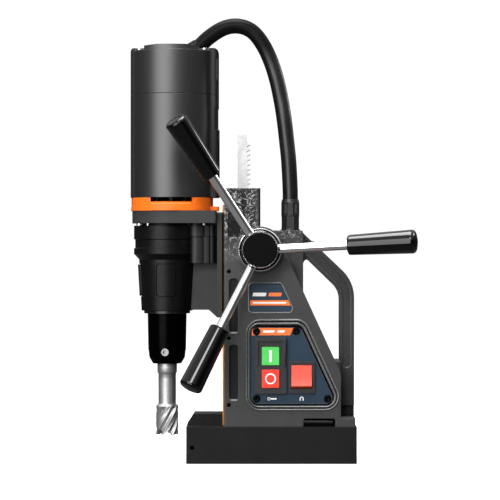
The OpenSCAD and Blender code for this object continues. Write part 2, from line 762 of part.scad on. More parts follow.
module ball_bearings() color("#b9bcbf") {
    ring(spindle_x, 0, 145, 154, 21, 12.5);
    ring(spindle_x, 0, 178.2, 188.2, 17.5, 8.5);
    ring(idler_x, 0, 192.3, 196.2, 6.48, 3);
    ring(idler_x, 0, 228.5, 232.2, 6.48, 3);
    ring(motor_x, 0, 233.4, 240.2, 10.98, 4);
    ring(motor_x, 0, 374, 381, 10.98, 4);
}

// ---------------------------------------------------------------- motor

// Everything that stands out of the round barrel: the rib in front and the wiring spine behind
module motor_ears(z0, z1, spine) {
    plate_xy(rounded([[motor_x - motor_r - 0.6, -14], [motor_x - 30, -14], [motor_x - 30, 14],
        [motor_x - motor_r - 0.6, 14]], [6, 0, 0, 6]), z0, z1);
    plate_xy(rounded([[motor_x + 30, -16], [spine, -16], [spine, 16], [motor_x + 30, 16]], [0, 4, 4, 0]), z0, z1);
}

// The seam's line across the ears: level round the barrel, dropping towards the back of the spine
function seam_line(z) = [[-140, z], [-55.9, z], [-50, z - 3.9]];

module barrel_grooves(z0, z1) {
    for (a = [23, 157, 203, 337]) translate([motor_x, 0, 0]) rotate([0, 0, a])
        block([motor_r - 0.7, -0.5, z0], [motor_r + 2, 0.5, z1]);
}

module vent_ring() color("#f36c1a") difference() {
    union() {
        post(motor_x, 0, 244.4, ring_top, motor_r + 0.1);
        post(motor_x, 0, flange_top + 0.1, 244.5, motor_r + 0.5);
        plate_xy(rounded([[motor_x, -15], [-50.3, -15], [-50.3, 15], [motor_x, 15]], [0, 3, 3, 0]),
            flange_top + 0.1, 244.5);
    }
    difference() {
        post(motor_x, 0, 230, 260, 36);
        for (d = motor_screw_places) post(motor_x + d[0], d[1], 200, 270, 4.2);
    }
    for (side = [0, 1]) mirror([0, side, 0]) {
        intersection() {
            plate_xz([[motor_x - 25, 254], [motor_x - 24.2, 252], [motor_x - 20.3, 246.4], [motor_x + 20.3, 246.4],
                [motor_x + 24.2, 252], [motor_x + 25, 254]], -60, -20);
            union() {
                intersection() {
                    turned(motor_x, 0, [[37, 249.1], [39.8, 246.3], [45, 246.3], [45, 256], [37, 256]]);
                    block([motor_x - 19.6, -60, 240], [motor_x + 19.6, -20, 260]);
                }
                for (half = [0, 1]) translate([motor_x, 0, 0]) mirror([half, 0, 0])
                    plate_xy([[19.5, -45], [27, -45], [25.2, -30.3], [19.5, -32]], 240, 256);
            }
        }
        block([motor_x - 19.5, -60, 249], [motor_x + 19.5, -20, 254]);
    }
    for (d = motor_screw_places) post(motor_x + d[0], d[1], 200, 270, 2.1);
}

module motor_housing() color("#26272a") difference() {
    union() {
        post(motor_x, 0, 253.1, motor_seam - 0.2, motor_r);
        motor_ears(253.1, 318, -49.8);
        motor_ears(317, 340, -51);
        intersection() {
            motor_ears(339, motor_seam, -50.4);
            plate_xz(concat(seam_line(motor_seam - 0.2), [[-50, 330], [-140, 330]]), -20, 20);
        }
    }
    difference() {
        post(motor_x, 0, 200, 400, 36.1);
        for (d = motor_screw_places)
            post(motor_x + d[0], d[1], 253.1, 268, 4.6);
    }
    for (d = motor_screw_places) post(motor_x + d[0], d[1], 200, 266, 2.05);
    barrel_grooves(240, 360);
}

module motor_cap() color("#26272a") difference() {
    union() {
        post(motor_x, 0, motor_seam + 0.2, shoulder_z - 3, motor_r);
        turned(motor_x, 0, [[0, shoulder_z - 3.1], [motor_r, shoulder_z - 3.1], [motor_r - 0.9, shoulder_z - 1],
            [motor_r - 2.9, shoulder_z], [0, shoulder_z]]);
        intersection() {
            motor_ears(motor_seam - 5, shoulder_z, -50.4);
            plate_xz(concat(seam_line(motor_seam + 0.2), [[-50, shoulder_z - 5], [-51.4, shoulder_z - 1.7],
                [-54.4, shoulder_z], [motor_x - 37.4, shoulder_z], [motor_x - 39, shoulder_z - 1],
                [motor_x - 40, shoulder_z - 3.2], [-140, shoulder_z - 3.2]]), -20, 20);
        }
        intersection() {
            post(motor_x, 0, 380, motor_top, motor_r - 0.2);
            plate_xz([[motor_x - 26, 380], [motor_x + 26, 380], [motor_x + 26, motor_top - 1],
                [motor_x + 14, motor_top], [motor_x - 14, motor_top], [motor_x - 26, motor_top - 1]], -60, 60);
        }
    }
    difference() {
        post(motor_x, 0, 340, 389, 36.1);
        post(motor_x, 0, 373.5, 390, 14);
        for (d = motor_screw_places) post(motor_x + d[0], d[1], 376, 400, 4.6);
    }
    post(motor_x, 0, 360, 381.2, 11);
    for (d = motor_screw_places) post(motor_x + d[0], d[1], 370, 420, 2.05);
    barrel_grooves(340, 420);
    for (side = [-1, 1]) block([-53, side * 17 - 2.4, 366], [-51.3, side * 17 + 2.4, 386]);
    gland_axis() translate([0, 0, -7]) cylinder(h = 25, r = 9.7);
    for (d = motor_screw_places) post(motor_x + d[0], d[1], screw_seat, 420, 3.6);
    for (side = [0, 1]) translate([motor_x, 0, 0]) mirror([side, 0, 0])
        block([26, -60, screw_seat], [34.6, -12, 420]);
}

// The frame of the conduit's entry into the cap, leaning back along the end of the conduit
module gland_axis() {
    translate(hose_route[len(hose_route) - 1]) rotate([0, hose_end_lean, 0]) translate([0, 0, -9]) children();
}

module motor_gland() color("#161616") {
    gland_axis() difference() {
        union() {
            translate([0, 0, -6]) cylinder(h = 8.2, r = 9.6);
            translate([0, 0, 2.1]) cylinder(h = 6.8, r1 = 9.6, r2 = 8.1);
        }
        translate([0, 0, -20]) cylinder(h = 40, r = 5.5);
    }
}

// Screws up through the flange into the motor, and down through the cap
module motor_screws() color("#d4d6d8") {
    for (d = motor_screw_places) {
        translate([motor_x + d[0], d[1], flange_bottom]) rotate([180, 0, 0]) cap_screw(2, 36, 3.2, 2);
        translate([motor_x + d[0], d[1], screw_seat]) cap_screw(2, 18, 3.2, 2.4);
    }
}

module field_stator() color("#7d8184") difference() {
    post(motor_x, 0, 276, 336, 35.9);
    post(motor_x, 0, 270, 340, 24.7);
    for (side = [-1, 1])
        block([motor_x + side * 22.5 - 8, -17, 270], [motor_x + side * 22.5 + 8, 17, 340]);
}

module field_coils() color("#b0652c") {
    for (side = [-1, 1], end = [-1, 1])
        translate([motor_x + side * 27.4, end * 10.5, 306]) cube([5.6, 12, 70], center = true);
}

module brush_holders() color("#7a5a20") {
    for (side = [-1, 1]) difference() {
        block([motor_x - 5.5, side * 25 - 10.3, 348.5], [motor_x + 5.5, side * 25 + 10.3, 359.5]);
        block([motor_x - 3.6, side * 23 - 10.3, 350.6], [motor_x + 3.6, side * 23 + 10.3, 357.4]);
    }
}

module carbon_brushes() color("#2e2e30") {
    for (side = [-1, 1]) translate([motor_x, side * 21, 354]) cube([7, 16.4, 6.6], center = true);
}

// ---------------------------------------------------------------- turning parts

module armature_shaft() color("#a9acaf") {
    post(motor_x, 0, upper_stage[0] - 0.5, 260, 3.4);
    gear(motor_x, upper_stage[0] - 0.5, upper_stage[1] + 0.8, small_teeth);
    post(motor_x, 0, 223.5, 262, 3.95);
    post(motor_x, 0, 262, 372, 5);
    post(motor_x, 0, 371, 380.9, 3.95);
}

module twelve_round_motor() {
    for (k = [0:11]) translate([motor_x, 0, 0]) rotate([0, 0, 30 * k]) children();
}

module armature_core() color("#8b4a22") difference() {
    union() {
        post(motor_x, 0, 278, 334, 24);
        post(motor_x, 0, 270, 342, 18);
    }
    post(motor_x, 0, 200, 400, 5.02);
    twelve_round_motor() block([18.2, -1.1, 277], [30, 1.1, 335]);
}

module commutator() color("#b5743a") difference() {
    post(motor_x, 0, 345, 362, 12.5);
    post(motor_x, 0, 340, 370, 5.02);
    twelve_round_motor() block([11.6, -0.3, 344], [14, 0.3, 363]);
}

module cooling_fan() color("#303134") difference() {
    union() {
        post(motor_x, 0, 243, 258.5, 7);
        post(motor_x, 0, 243, 244.6, 28);
        twelve_round_motor() block([6, -0.7, 244], [28, 0.7, 258]);
    }
    post(motor_x, 0, 240, 260, 3.98);
}

module idler_shaft() color("#a9acaf") {
    post(idler_x, 0, 192.4, 232, 2.95);
    gear(idler_x, lower_stage[0] - 0.5, lower_stage[1] + 0.5, small_teeth);
    post(idler_x, 0, lower_stage[1], upper_stage[1] + 1, 4);
}

module idler_gear() color("#b7babd") difference() {
    gear(idler_x, upper_stage[0], upper_stage[1], idler_teeth);
    post(idler_x, 0, 200, 240, 4.03);
}

module spindle_gear() color("#b7babd") difference() {
    gear(spindle_x, lower_stage[0], lower_stage[1], spindle_teeth);
    post(spindle_x, 0, 190, 220, 7.48);
}

module arbor() color("#121213") difference() {
    turned(spindle_x, 0, [
        [0, 93.6], [13.8, 93.6], [14.3, 94.5], [17.1, 99.3], [18.2, 108], [18.8, 141.5], [12.45, 141.5],
        [12.45, 158.4], [10.5, 158.4], [10.5, 177.6], [8.45, 177.6], [8.45, 194], [7.45, 194], [7.45, 210],
        [0, 210]
    ]);
    post(spindle_x, 0, 90, 126, shank_r + 0.03);
    set_screw_frame() cylinder(h = 12, r = 3.65);
}

// Two set screws bear on the shank's flats, a quarter turn apart
module set_screw_frame() {
    for (a = [-5, 85]) translate([spindle_x, 0, 104.8]) rotate([0, 0, a]) rotate([90, 0, 0])
        translate([0, 0, 9.2]) children();
}

module arbor_set_screws() color("#c5c8cb") {
    set_screw_frame() difference() {
        translate([0, 0, 0.05]) cylinder(h = 8.1, r = 3.6);
        translate([0, 0, 4.5]) cylinder(h = 6, r = 2.2, $fn = 6);
    }
}

module cutter() color("#c3c5c6") difference() {
    turned(spindle_x, 0, [
        [7.2, cutter_tip], [cutter_r, cutter_tip], [cutter_r, 52], [8.54, 54.8], [8.54, 83.6], [9.3, 84.3],
        [shank_r, 85], [shank_r, 125], [shank_r - 1, 126], [3.2, 126], [3.2, 60], [7.2, 60]
    ]);
    for (a = [-5, 85]) translate([spindle_x, 0, 0]) rotate([0, 0, a]) block([-10, -12, 98], [10, -9.15, 112]);
    for (k = [0:5]) translate([spindle_x, 0, 0]) rotate([0, 0, 60 * k + 12]) {
        post(cutter_r + 0.9, 0, 20, 52.6, 2.5);
        block([5, -1.8, 20], [14, 0.6, cutter_tip + 3.2]);
    }
}

// ---------------------------------------------------------------- capstan

module pinion_shaft() color("#8f9396") {
    translate([pinion_x, 7.8, pinion_z]) rotate([90, 0, 0])
        linear_extrude(15.6) polygon(gear_points(pinion_teeth, rack_module, 0.95, 1.25));
    pin_y(pinion_x, pinion_z, -44.9, -7.7, 9);
    pin_y(pinion_x, pinion_z, -62, -44.8, 6.2);
    pin_y(pinion_x, pinion_z, 7.7, 30, 6.5);
}

// The frame of one capstan arm: its z axis runs out along the arm from where it crosses the hub's cone
module arm_frame(turn) {
    a = arm_phase + turn;
    translate([pinion_x + arm_cross_r * cos(a), arm_cross_y, pinion_z + arm_cross_r * sin(a)])
        rotate([0, 90 - a, 0]) rotate([arm_lean, 0, 0]) children();
}

// Turned about the capstan's axis, from [radius, distance along -y] points
module turned_y(profile) {
    translate([pinion_x, 0, pinion_z]) rotate([90, 0, 0]) rotate_extrude() polygon(profile);
}

module hub() color("#d8dadc") difference() {
    turned_y([[0, 45], [19.8, 45], [20.5, 45.7], [20.5, 51.4], [20.2, 52.1], [19.6, 52.4], [19, 52.1], [18.8, 51.4],
        [17.4, 59], [17.4, 67], [16.8, 68.4], [0, 68.4]]);
    turned_y([[0, 44], [6.25, 44], [6.25, 62.3], [0, 62.3]]);
    turned_y([[0, 66.6], [15.4, 66.6], [15.4, 70], [0, 70]]);
    for (t = arm_turns) arm_frame(t) translate([0, 0, -10.5]) cylinder(h = 40, r = arm_r + 0.03);
    for (t = arm_turns, a = [26, 54]) rotate_about_axis(arm_phase + t + a)
        translate([0, -55.6, 13]) cylinder(h = 10, r = 2);
}

// Places children on the capstan's axis, with their z axis turned to that angle from +x
module rotate_about_axis(a) {
    translate([pinion_x, 0, pinion_z]) rotate([0, 90 - a, 0]) children();
}

module hub_cap() color("#141415") {
    turned_y([[0, 66.7], [15.3, 66.7], [15.3, 68.5], [16.2, 68.5], [16.2, 70.2], [15.4, 71], [0, 71]]);
}

module spokes() color("#d8dadc") {
    for (t = arm_turns) arm_frame(t) translate([0, 0, -10.4]) cylinder(h = 110, r = arm_r);
}

module grips() color("#0f0f10") {
    z0 = (grip_r[0] - arm_cross_r) / cos(arm_lean);
    z1 = (grip_r[1] - arm_cross_r) / cos(arm_lean);
    end_r = 11.15;
    dome = 5;
    for (t = arm_turns) arm_frame(t) rotate_extrude() polygon(concat(
        [[arm_r + 0.03, z0], [8.4, z0], [9.3, z0 + 0.8], [9.5, z0 + 2]],
        [for (a = [0:15:75]) [end_r - 3.5 + 3.5 * cos(a), z1 - dome + 3.5 * sin(a)]],
        [[4, z1 - 0.5], [0, z1], [0, 100], [arm_r + 0.03, 100]]
    ));
}

magnet_housing();
magnet_coil();
magnet_potting();
base_bolts();
body_casting();
side_cover();
cover_screws();
gib_strip();
gib_screws();
control_panel();
panel_screws();
badge_plate();
switch_housing();
rocker_bezel();
control_board();
pinion_bushings();
shaft_end_cap();
gland_body();
gland_nut();
mains_gland();
carry_handle();
handle_screws();
conduit_hose();
slide();
rack();
slide_screws();
motor_bracket();
gearbox_housing();
gearbox_screws();
gearbox_nose();
nose_ring();
vent_ring();
motor_housing();
motor_cap();
motor_screws();
motor_gland();
field_stator();
field_coils();
brush_holders();
carbon_brushes();
ball_bearings();
armature_shaft();
armature_core();
commutator();
cooling_fan();
idler_shaft();
idler_gear();
spindle_gear();
arbor();
arbor_set_screws();
cutter();
pinion_shaft();
hub();
hub_cap();
spokes();
grips();
start_button();
stop_button();
magnet_rocker();
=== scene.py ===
"""Looks for the magnetic drill press: materials, the finer meshes, the light and the camera."""
import math

import bmesh
import bpy
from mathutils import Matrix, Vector


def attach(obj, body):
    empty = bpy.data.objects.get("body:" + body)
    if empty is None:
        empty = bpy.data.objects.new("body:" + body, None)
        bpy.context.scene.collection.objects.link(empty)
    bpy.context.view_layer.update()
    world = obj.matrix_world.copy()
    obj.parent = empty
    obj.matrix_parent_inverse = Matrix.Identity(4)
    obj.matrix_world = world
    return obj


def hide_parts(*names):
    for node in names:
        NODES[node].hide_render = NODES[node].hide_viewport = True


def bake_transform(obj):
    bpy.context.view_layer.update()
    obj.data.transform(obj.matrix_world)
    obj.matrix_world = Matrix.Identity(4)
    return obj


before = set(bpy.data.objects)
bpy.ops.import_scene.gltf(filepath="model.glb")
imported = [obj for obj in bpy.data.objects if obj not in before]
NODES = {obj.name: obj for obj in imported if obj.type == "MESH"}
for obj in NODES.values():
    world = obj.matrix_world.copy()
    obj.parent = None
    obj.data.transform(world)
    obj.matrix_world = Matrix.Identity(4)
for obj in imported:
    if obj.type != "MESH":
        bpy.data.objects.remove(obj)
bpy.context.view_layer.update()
MM = 0.001


# ---------------------------------------------------------------- camera

def add_camera():
    """The control side, square on, from the height of the machine's middle."""
    data = bpy.data.cameras.new("camera")
    data.lens = 164.1
    data.sensor_width = 36
    camera = bpy.data.objects.new("camera", data)
    camera.location = (-0.0204, -2.2, 0.2028)
    camera.rotation_euler = (math.pi / 2, 0, 0)
    bpy.context.scene.collection.objects.link(camera)
    bpy.context.scene.camera = camera
    bpy.context.scene.view_settings.view_transform = "Standard"


add_camera()


# ---------------------------------------------------------------- shader graphs

class Look:
    """One procedural material. Sizes of its patterns are in millimetres on the object."""

    def __init__(self, name, color, roughness, metallic=0.0, **inputs):
        self.mat = bpy.data.materials.new(name)
        self.mat.use_nodes = True
        self.tree = self.mat.node_tree
        self.bsdf = self.tree.nodes["Principled BSDF"]
        self.color = color
        self.roughness = roughness
        self.bsdf.inputs["Base Color"].default_value = (*color, 1)
        self.bsdf.inputs["Roughness"].default_value = roughness
        self.bsdf.inputs["Metallic"].default_value = metallic
        for key, value in inputs.items():
            self.bsdf.inputs[key.replace("_", " ")].default_value = value
        self.at = self.node("ShaderNodeTexCoord").outputs["Object"]
        self.normal = None

    def node(self, kind, inputs=None, **settings):
        made = self.tree.nodes.new(kind)
        for key, value in settings.items():
            setattr(made, key, value)
        for key, value in (inputs or {}).items():
            self.feed(made.inputs[key], value)
        return made

    def feed(self, socket, value):
        if isinstance(value, bpy.types.NodeSocket):
            self.tree.links.new(value, socket)
        else:
            socket.default_value = value

    def stretched(self, x, y, z):
        """Object coordinates with each axis scaled, for grain that runs one way."""
        return self.node("ShaderNodeMapping", {"Vector": self.at, "Scale": (x, y, z)}).outputs[0]

    def noise(self, size, detail=2.0, at=None, distortion=0.0):
        made = self.node("ShaderNodeTexNoise", {
            "Vector": at or self.at, "Scale": 1000 / size, "Detail": detail, "Distortion": distortion,
        })
        return made.outputs["Fac"]

    def cells(self, size, feature="SMOOTH_F1"):
        made = self.node("ShaderNodeTexVoronoi", {"Vector": self.at, "Scale": 1000 / size}, feature=feature)
        return made.outputs["Distance"]

    def waves(self, scale, direction, distortion=0.0):
        """Parallel bands along one axis."""
        made = self.node("ShaderNodeTexWave", {"Vector": self.at, "Scale": scale, "Distortion": distortion},
                         bands_direction=direction)
        return made.outputs["Fac"]

    def math(self, operation, a, b=0.0):
        return self.node("ShaderNodeMath", {0: a, 1: b}, operation=operation).outputs[0]

    def times(self, a, b):
        return self.math("MULTIPLY", a, b)

    def distance(self, value, center):
        return self.math("ABSOLUTE", self.math("SUBTRACT", value, center))

    def ramp(self, value, low, high, out_low=0.0, out_high=1.0):
        return self.node("ShaderNodeMapRange", {
            "Value": value, "From Min": low, "From Max": high, "To Min": out_low, "To Max": out_high,
        }).outputs[0]

    def mix(self, factor, a, b):
        a = a if isinstance(a, bpy.types.NodeSocket) else (*a, 1)
        b = b if isinstance(b, bpy.types.NodeSocket) else (*b, 1)
        made = self.node("ShaderNodeMixRGB", {"Fac": factor, "Color1": a, "Color2": b})
        return made.outputs[0]

    def axis(self, name):
        """One of the object's coordinates, in metres."""
        return self.node("ShaderNodeSeparateXYZ", {0: self.at}).outputs[name]

    def between(self, value, rise, fall):
        """1 between two places; rise and fall each say where it is 0 and where it is 1."""
        return self.times(self.ramp(value, *rise), self.ramp(value, *fall))

    def tone(self):
        """What feeds the base colour so far."""
        return self.bsdf.inputs["Base Color"].links[0].from_socket

    def set_color(self, value):
        self.feed(self.bsdf.inputs["Base Color"], value)

    def set_specular(self, value):
        self.feed(self.bsdf.inputs["Specular IOR Level"], value)

    def set_roughness(self, value):
        self.feed(self.bsdf.inputs["Roughness"], value)

    def vary(self, size, amount, rough_amount=0.08):
        """Slight unevenness of tone and gloss."""
        cloud = self.noise(size, 3.0)
        dark = tuple(c * (1 - amount) for c in self.color)
        light = tuple(min(1, c * (1 + amount)) for c in self.color)
        self.set_color(self.mix(self.ramp(cloud, 0.3, 0.7), dark, light))
        fine = self.noise(size / 7, 2.0)
        low = max(0.03, self.roughness - rough_amount)
        self.set_roughness(self.ramp(fine, 0.3, 0.7, low, self.roughness + rough_amount))
        return self

    def rounded(self, radius):
        """Edges catch the light as if they had that radius."""
        self.normal = self.node("ShaderNodeBevel", {"Radius": radius * MM}, samples=4).outputs[0]
        self.feed(self.bsdf.inputs["Normal"], self.normal)
        return self

    def bump(self, height, depth):
        made = self.node("ShaderNodeBump", {"Height": height, "Distance": depth * MM, "Strength": 1.0})
        if self.normal is not None:
            self.feed(made.inputs["Normal"], self.normal)
        self.normal = made.outputs[0]
        self.feed(self.bsdf.inputs["Normal"], self.normal)
        return self

    def edge_highlight_mask(self, radius):
        """1 along outer edges, broken up by noise: where a painted highlight goes."""
        soft = self.node("ShaderNodeBevel", {"Radius": radius * MM}, samples=4).outputs[0]
        hard = self.node("ShaderNodeNewGeometry").outputs["Normal"]
        agree = self.node("ShaderNodeVectorMath", {0: soft, 1: hard}, operation="DOT_PRODUCT")
        edge = self.ramp(agree.outputs["Value"], 0.97, 0.75)
        return self.times(edge, self.ramp(self.noise(3.0, 2.0), 0.1, 0.3))


# ---------------------------------------------------------------- materials

# Height of the bottom edge of each pocket in the column's side
POCKET_FEET = (0.0605, 0.1243)


def hammered_area(look):
    """1 at the top of the column, a half on the rear box's shoulder."""
    high = look.ramp(look.axis("Z"), 0.190, 0.222)
    column = look.ramp(look.axis("X"), -0.0125, -0.0165)
    rear_box = look.times(look.ramp(look.axis("X"), 0.004, 0.010), look.ramp(look.axis("Z"), 0.204, 0.219))
    return look.times(high, look.math("ADD", column, look.times(rear_box, 0.5)))


def cast_paint():
    """Dark grey paint over a coarse casting: hammered at the top of the column, fine lower down. Painted
    highlights on the hammered ridges, the outer edges and the pockets' bottom lips; painted shade in the
    hammered hollows and the recesses.
    """
    look = Look("cast_paint", (0.046, 0.0465, 0.047), 0.33, Specular_IOR_Level=0.2)
    look.vary(14, 0.05, 0.04)
    look.rounded(1.5)
    coarse = hammered_area(look)
    swirls = look.noise(5.6, 2.0, at=look.stretched(1.1, 1, 0.95), distortion=1.1)
    lumps = look.ramp(look.distance(swirls, 0.5), 0.07, 0.0)
    look.bump(look.times(lumps, coarse), 0.9)
    look.bump(look.noise(1.3, 2.0), 0.05)
    # Painted highlight: pale flecks on the hammered ridges. Painted shade: dark in the hollows between them.
    ridge_highlights = look.times(look.ramp(lumps, 0.5, 0.85), coarse)
    pit_shade = look.times(look.ramp(lumps, 0.4, 0.0), coarse)
    tone = look.mix(look.times(pit_shade, 0.75), look.tone(), (0.016, 0.016, 0.0165))
    tone = look.mix(look.times(ridge_highlights, 0.8), tone, (0.62, 0.625, 0.63))
    # Painted shade: darker and less glossy in the recesses between these depths from the middle.
    depth = look.math("ABSOLUTE", look.axis("Y"))
    sunk = look.between(depth, (0.0386, 0.0381), (0.0345, 0.0350))
    # Painted highlight along the outer edges.
    tone = look.mix(look.times(look.edge_highlight_mask(0.9), 0.45), tone, (0.24, 0.242, 0.245))
    tone = look.mix(look.times(sunk, 0.85), tone, (0.012, 0.012, 0.0125))
    # Painted highlight on the bottom lip of each pocket.
    for height in POCKET_FEET:
        lip = look.ramp(look.distance(look.axis("Z"), height), 0.0009, 0.0004)
        lip = look.times(lip, look.between(look.axis("X"), (-0.0395, -0.0380), (-0.0320, -0.0335)))
        tone = look.mix(look.times(lip, 0.75), tone, (0.42, 0.422, 0.425))
    look.set_color(tone)
    look.set_specular(look.ramp(sunk, 0, 1, 0.2, 0.05))
    return look.mat


def bead_paint():
    """The same paint, smoother and lighter on the raised beads; the lighter tone is a painted highlight."""
    look = Look("bead_paint", (0.080, 0.0805, 0.081), 0.27, IOR=1.6, Specular_IOR_Level=0.75)
    look.vary(5, 0.08)
    look.bump(look.noise(1.1, 3.0), 0.03)
    return look.mat


def handle_paint():
    """The casting's paint, smoother, with painted shade darkening it towards the foot and painting it black
    at its very end, and painted highlights along its edges.
    """
    look = Look("handle_paint", (0.030, 0.0305, 0.031), 0.32, Specular_IOR_Level=0.3)
    look.vary(10, 0.07)
    # Painted shade: darker towards the foot.
    foot = look.ramp(look.axis("Z"), 0.0885, 0.070)
    tone = look.mix(look.times(foot, 0.62), look.tone(), (0.012, 0.012, 0.0122))
    # Painted highlight along the outer edges.
    tone = look.mix(look.times(look.edge_highlight_mask(1.0), 0.8), tone, (0.16, 0.161, 0.163))
    # Painted shade: black at the very end of the foot.
    look.set_color(look.mix(look.ramp(look.axis("Z"), 0.0545, 0.0538), tone, (0.003, 0.003, 0.003)))
    look.rounded(1.2)
    look.bump(look.noise(1.1, 3.0), 0.05)
    return look.mat


def bracket_paint():
    look = Look("bracket_paint", (0.036, 0.0365, 0.037), 0.45, Specular_IOR_Level=0.12)
    look.vary(12, 0.05)
    look.rounded(0.5)
    look.bump(look.noise(0.7, 3.0), 0.03)
    return look.mat


def magnet_paint():
    """Dull dark paint, with painted shade making it black inside the slot for the safety strap."""
    look = Look("magnet_paint", (0.0100, 0.0101, 0.0103), 0.5, Specular_IOR_Level=0.09)
    look.vary(20, 0.1)
    # Painted shade: black, without gloss, inside the strap slot.
    slot = look.between(look.axis("X"), (0.0290, 0.0295), (0.0620, 0.0615))
    slot = look.times(slot, look.ramp(look.axis("Z"), 0.0352, 0.0356))
    look.set_color(look.mix(slot, look.tone(), (0.0008, 0.0008, 0.0008)))
    look.set_specular(look.ramp(slot, 0, 1, 0.09, 0.0))
    look.rounded(0.7)
    look.bump(look.noise(0.6, 3.0), 0.02)
    return look.mat


def motor_plastic():
    """Satin black moulding with a fine spark-eroded grain, duller on the lugs beside the column."""
    look = Look("motor_plastic", (0.0034, 0.0035, 0.0036), 0.43, Specular_IOR_Level=0.85)
    look.vary(3, 0.06, 0.012)
    look.set_specular(look.ramp(look.axis("X"), -0.0592, -0.0585, 0.85, 0.3))
    look.rounded(0.4)
    look.bump(look.noise(0.45, 2.0), 0.012)
    return look.mat


def gearbox_coat():
    """Black coat, with painted light making the lobe over the idler gear greyer."""
    look = Look("gearbox_coat", (0.0020, 0.0020, 0.0022), 0.42, Specular_IOR_Level=0.16)
    look.vary(12, 0.1, 0.05)
    # Painted light: the lobe over the idler gear is greyer.
    lobe = look.between(look.axis("X"), (-0.0765, -0.0745), (-0.0590, -0.0640))
    lobe = look.times(lobe, look.ramp(look.axis("Z"), 0.187, 0.1885))
    look.set_color(look.mix(lobe, look.tone(), (0.030, 0.0302, 0.0305)))
    look.rounded(0.5)
    look.bump(look.noise(0.5, 2.0), 0.015)
    return look.mat


def moulded(name, color, roughness, grain=0.012, edge=0.35, **inputs):
    """A plain moulded plastic with a faint grain."""
    look = Look(name, color, roughness, **inputs)
    look.vary(7, 0.05, 0.04)
    look.rounded(edge)
    look.bump(look.noise(0.4, 2.0), grain)
    return look.mat


def machined(name, color, roughness, along):
    """Ground or turned metal: fine lines along one axis, with slight stains."""
    look = Look(name, color, roughness, metallic=1.0)
    squeeze = {"x": (0.05, 1, 1), "y": (1, 0.05, 1), "z": (1, 1, 0.05)}[along]
    lines = look.noise(0.35, 3.0, at=look.stretched(*squeeze))
    look.rounded(0.2)
    look.bump(lines, 0.006)
    look.set_roughness(look.ramp(lines, 0.3, 0.7, max(0.05, roughness - 0.07), roughness + 0.09))
    stain = look.ramp(look.noise(9, 4.0), 0.42, 0.72)
    look.set_color(look.mix(stain, color, tuple(c * 0.8 for c in color)))
    return look.mat


def turned_lines(name, color, roughness, pitch, depth, metallic=1.0, **inputs):
    """Turned metal: fine rings about a vertical axis."""
    look = Look(name, color, roughness, metallic=metallic, **inputs)
    rings = look.noise(pitch, 1.0, at=look.stretched(0.02, 0.02, 1))
    look.rounded(0.25)
    look.bump(rings, depth)
    look.set_roughness(look.ramp(rings, 0.3, 0.7, max(0.05, roughness - 0.05), roughness + 0.07))
    look.set_color(look.mix(look.ramp(look.noise(6, 3.0), 0.4, 0.7), color, tuple(c * 0.86 for c in color)))
    return look.mat


def polished_chrome(name, roughness):
    look = Look(name, (0.78, 0.785, 0.79), roughness, metallic=1.0)
    smear = look.noise(12, 4.0)
    look.set_roughness(look.ramp(smear, 0.35, 0.7, roughness - 0.02, roughness + 0.04))
    return look.mat


# The capstan's axis
CAPSTAN_X = -0.011
CAPSTAN_Z = 0.203


def hub_finish():
    """Chrome with a dark band of painted shade, for a groove, just inside the outer rim."""
    look = Look("hub_chrome", (0.80, 0.805, 0.81), 0.2, metallic=1.0)
    across = look.math("SUBTRACT", look.axis("X"), CAPSTAN_X)
    up = look.math("SUBTRACT", look.axis("Z"), CAPSTAN_Z)
    radius = look.math("SQRT", look.math("ADD", look.times(across, across), look.times(up, up)))
    # Painted shade: a dark band for a groove inside the outer rim.
    band = look.between(radius, (0.0168, 0.0172), (0.0197, 0.0194))
    look.set_color(look.mix(band, (0.80, 0.805, 0.81), (0.035, 0.035, 0.036)))
    look.set_roughness(look.ramp(look.noise(12, 4.0), 0.35, 0.7, 0.16, 0.24))
    return look.mat


def gloss_black():
    look = Look("gloss_black", (0.0006, 0.0006, 0.0007), 0.1, Specular_IOR_Level=0.33)
    look.rounded(0.4)
    look.set_roughness(look.ramp(look.noise(9, 4.0), 0.35, 0.7, 0.07, 0.12))
    look.set_color(look.mix(look.noise(5, 2.0), (0.0006, 0.0006, 0.0007), (0.0011, 0.0011, 0.0012)))
    return look.mat


def dotted_cap():
    """Black plastic disc with a fine moulded grain."""
    look = Look("dotted_cap", (0.002, 0.002, 0.0022), 0.4, Specular_IOR_Level=0.03)
    look.rounded(0.4)
    look.bump(look.cells(0.9), 0.05)
    look.set_roughness(look.ramp(look.noise(4, 3.0), 0.3, 0.7, 0.38, 0.5))
    look.set_color(look.mix(look.cells(1.2), (0.0022, 0.0022, 0.0024), (0.0042, 0.0042, 0.0045)))
    return look.mat


def rubber_sleeve():
    """Black rubber, duller over the conduit's top bend."""
    look = Look("rubber_sleeve", (0.0048, 0.0048, 0.0051), 0.33)
    look.set_specular(look.ramp(look.axis("Z"), 0.375, 0.4, 0.36, 0.04))
    look.vary(9, 0.12, 0.06)
    look.bump(look.noise(1.4, 3.0), 0.02)
    return look.mat


def orange_moulding():
    look = Look("orange_moulding", (0.88, 0.16, 0.010), 0.4, Specular_IOR_Level=0.22,
                Subsurface_Weight=0.06, Subsurface_Scale=0.002)
    look.vary(8, 0.04, 0.04)
    look.rounded(0.5)
    look.bump(look.noise(0.5, 2.0), 0.012)
    return look.mat


def blue_film():
    """Printed polyester film with a faint woven tone."""
    look = Look("blue_film", (0.0235, 0.0515, 0.088), 0.5, Specular_IOR_Level=0.2)
    wide = look.noise(22, 2.0)
    tone = look.mix(look.ramp(wide, 0.3, 0.7), (0.0145, 0.032, 0.054), (0.0195, 0.041, 0.066))
    dots = look.ramp(look.cells(1.1, feature="F1"), 0.25, 0.4)
    look.set_color(look.mix(look.times(dots, 0.18), tone, (0.012, 0.024, 0.04)))
    look.set_roughness(look.ramp(look.noise(5, 2.0), 0.3, 0.7, 0.36, 0.48))
    look.rounded(0.2)
    look.bump(look.noise(0.6, 2.0), 0.006)
    return look.mat


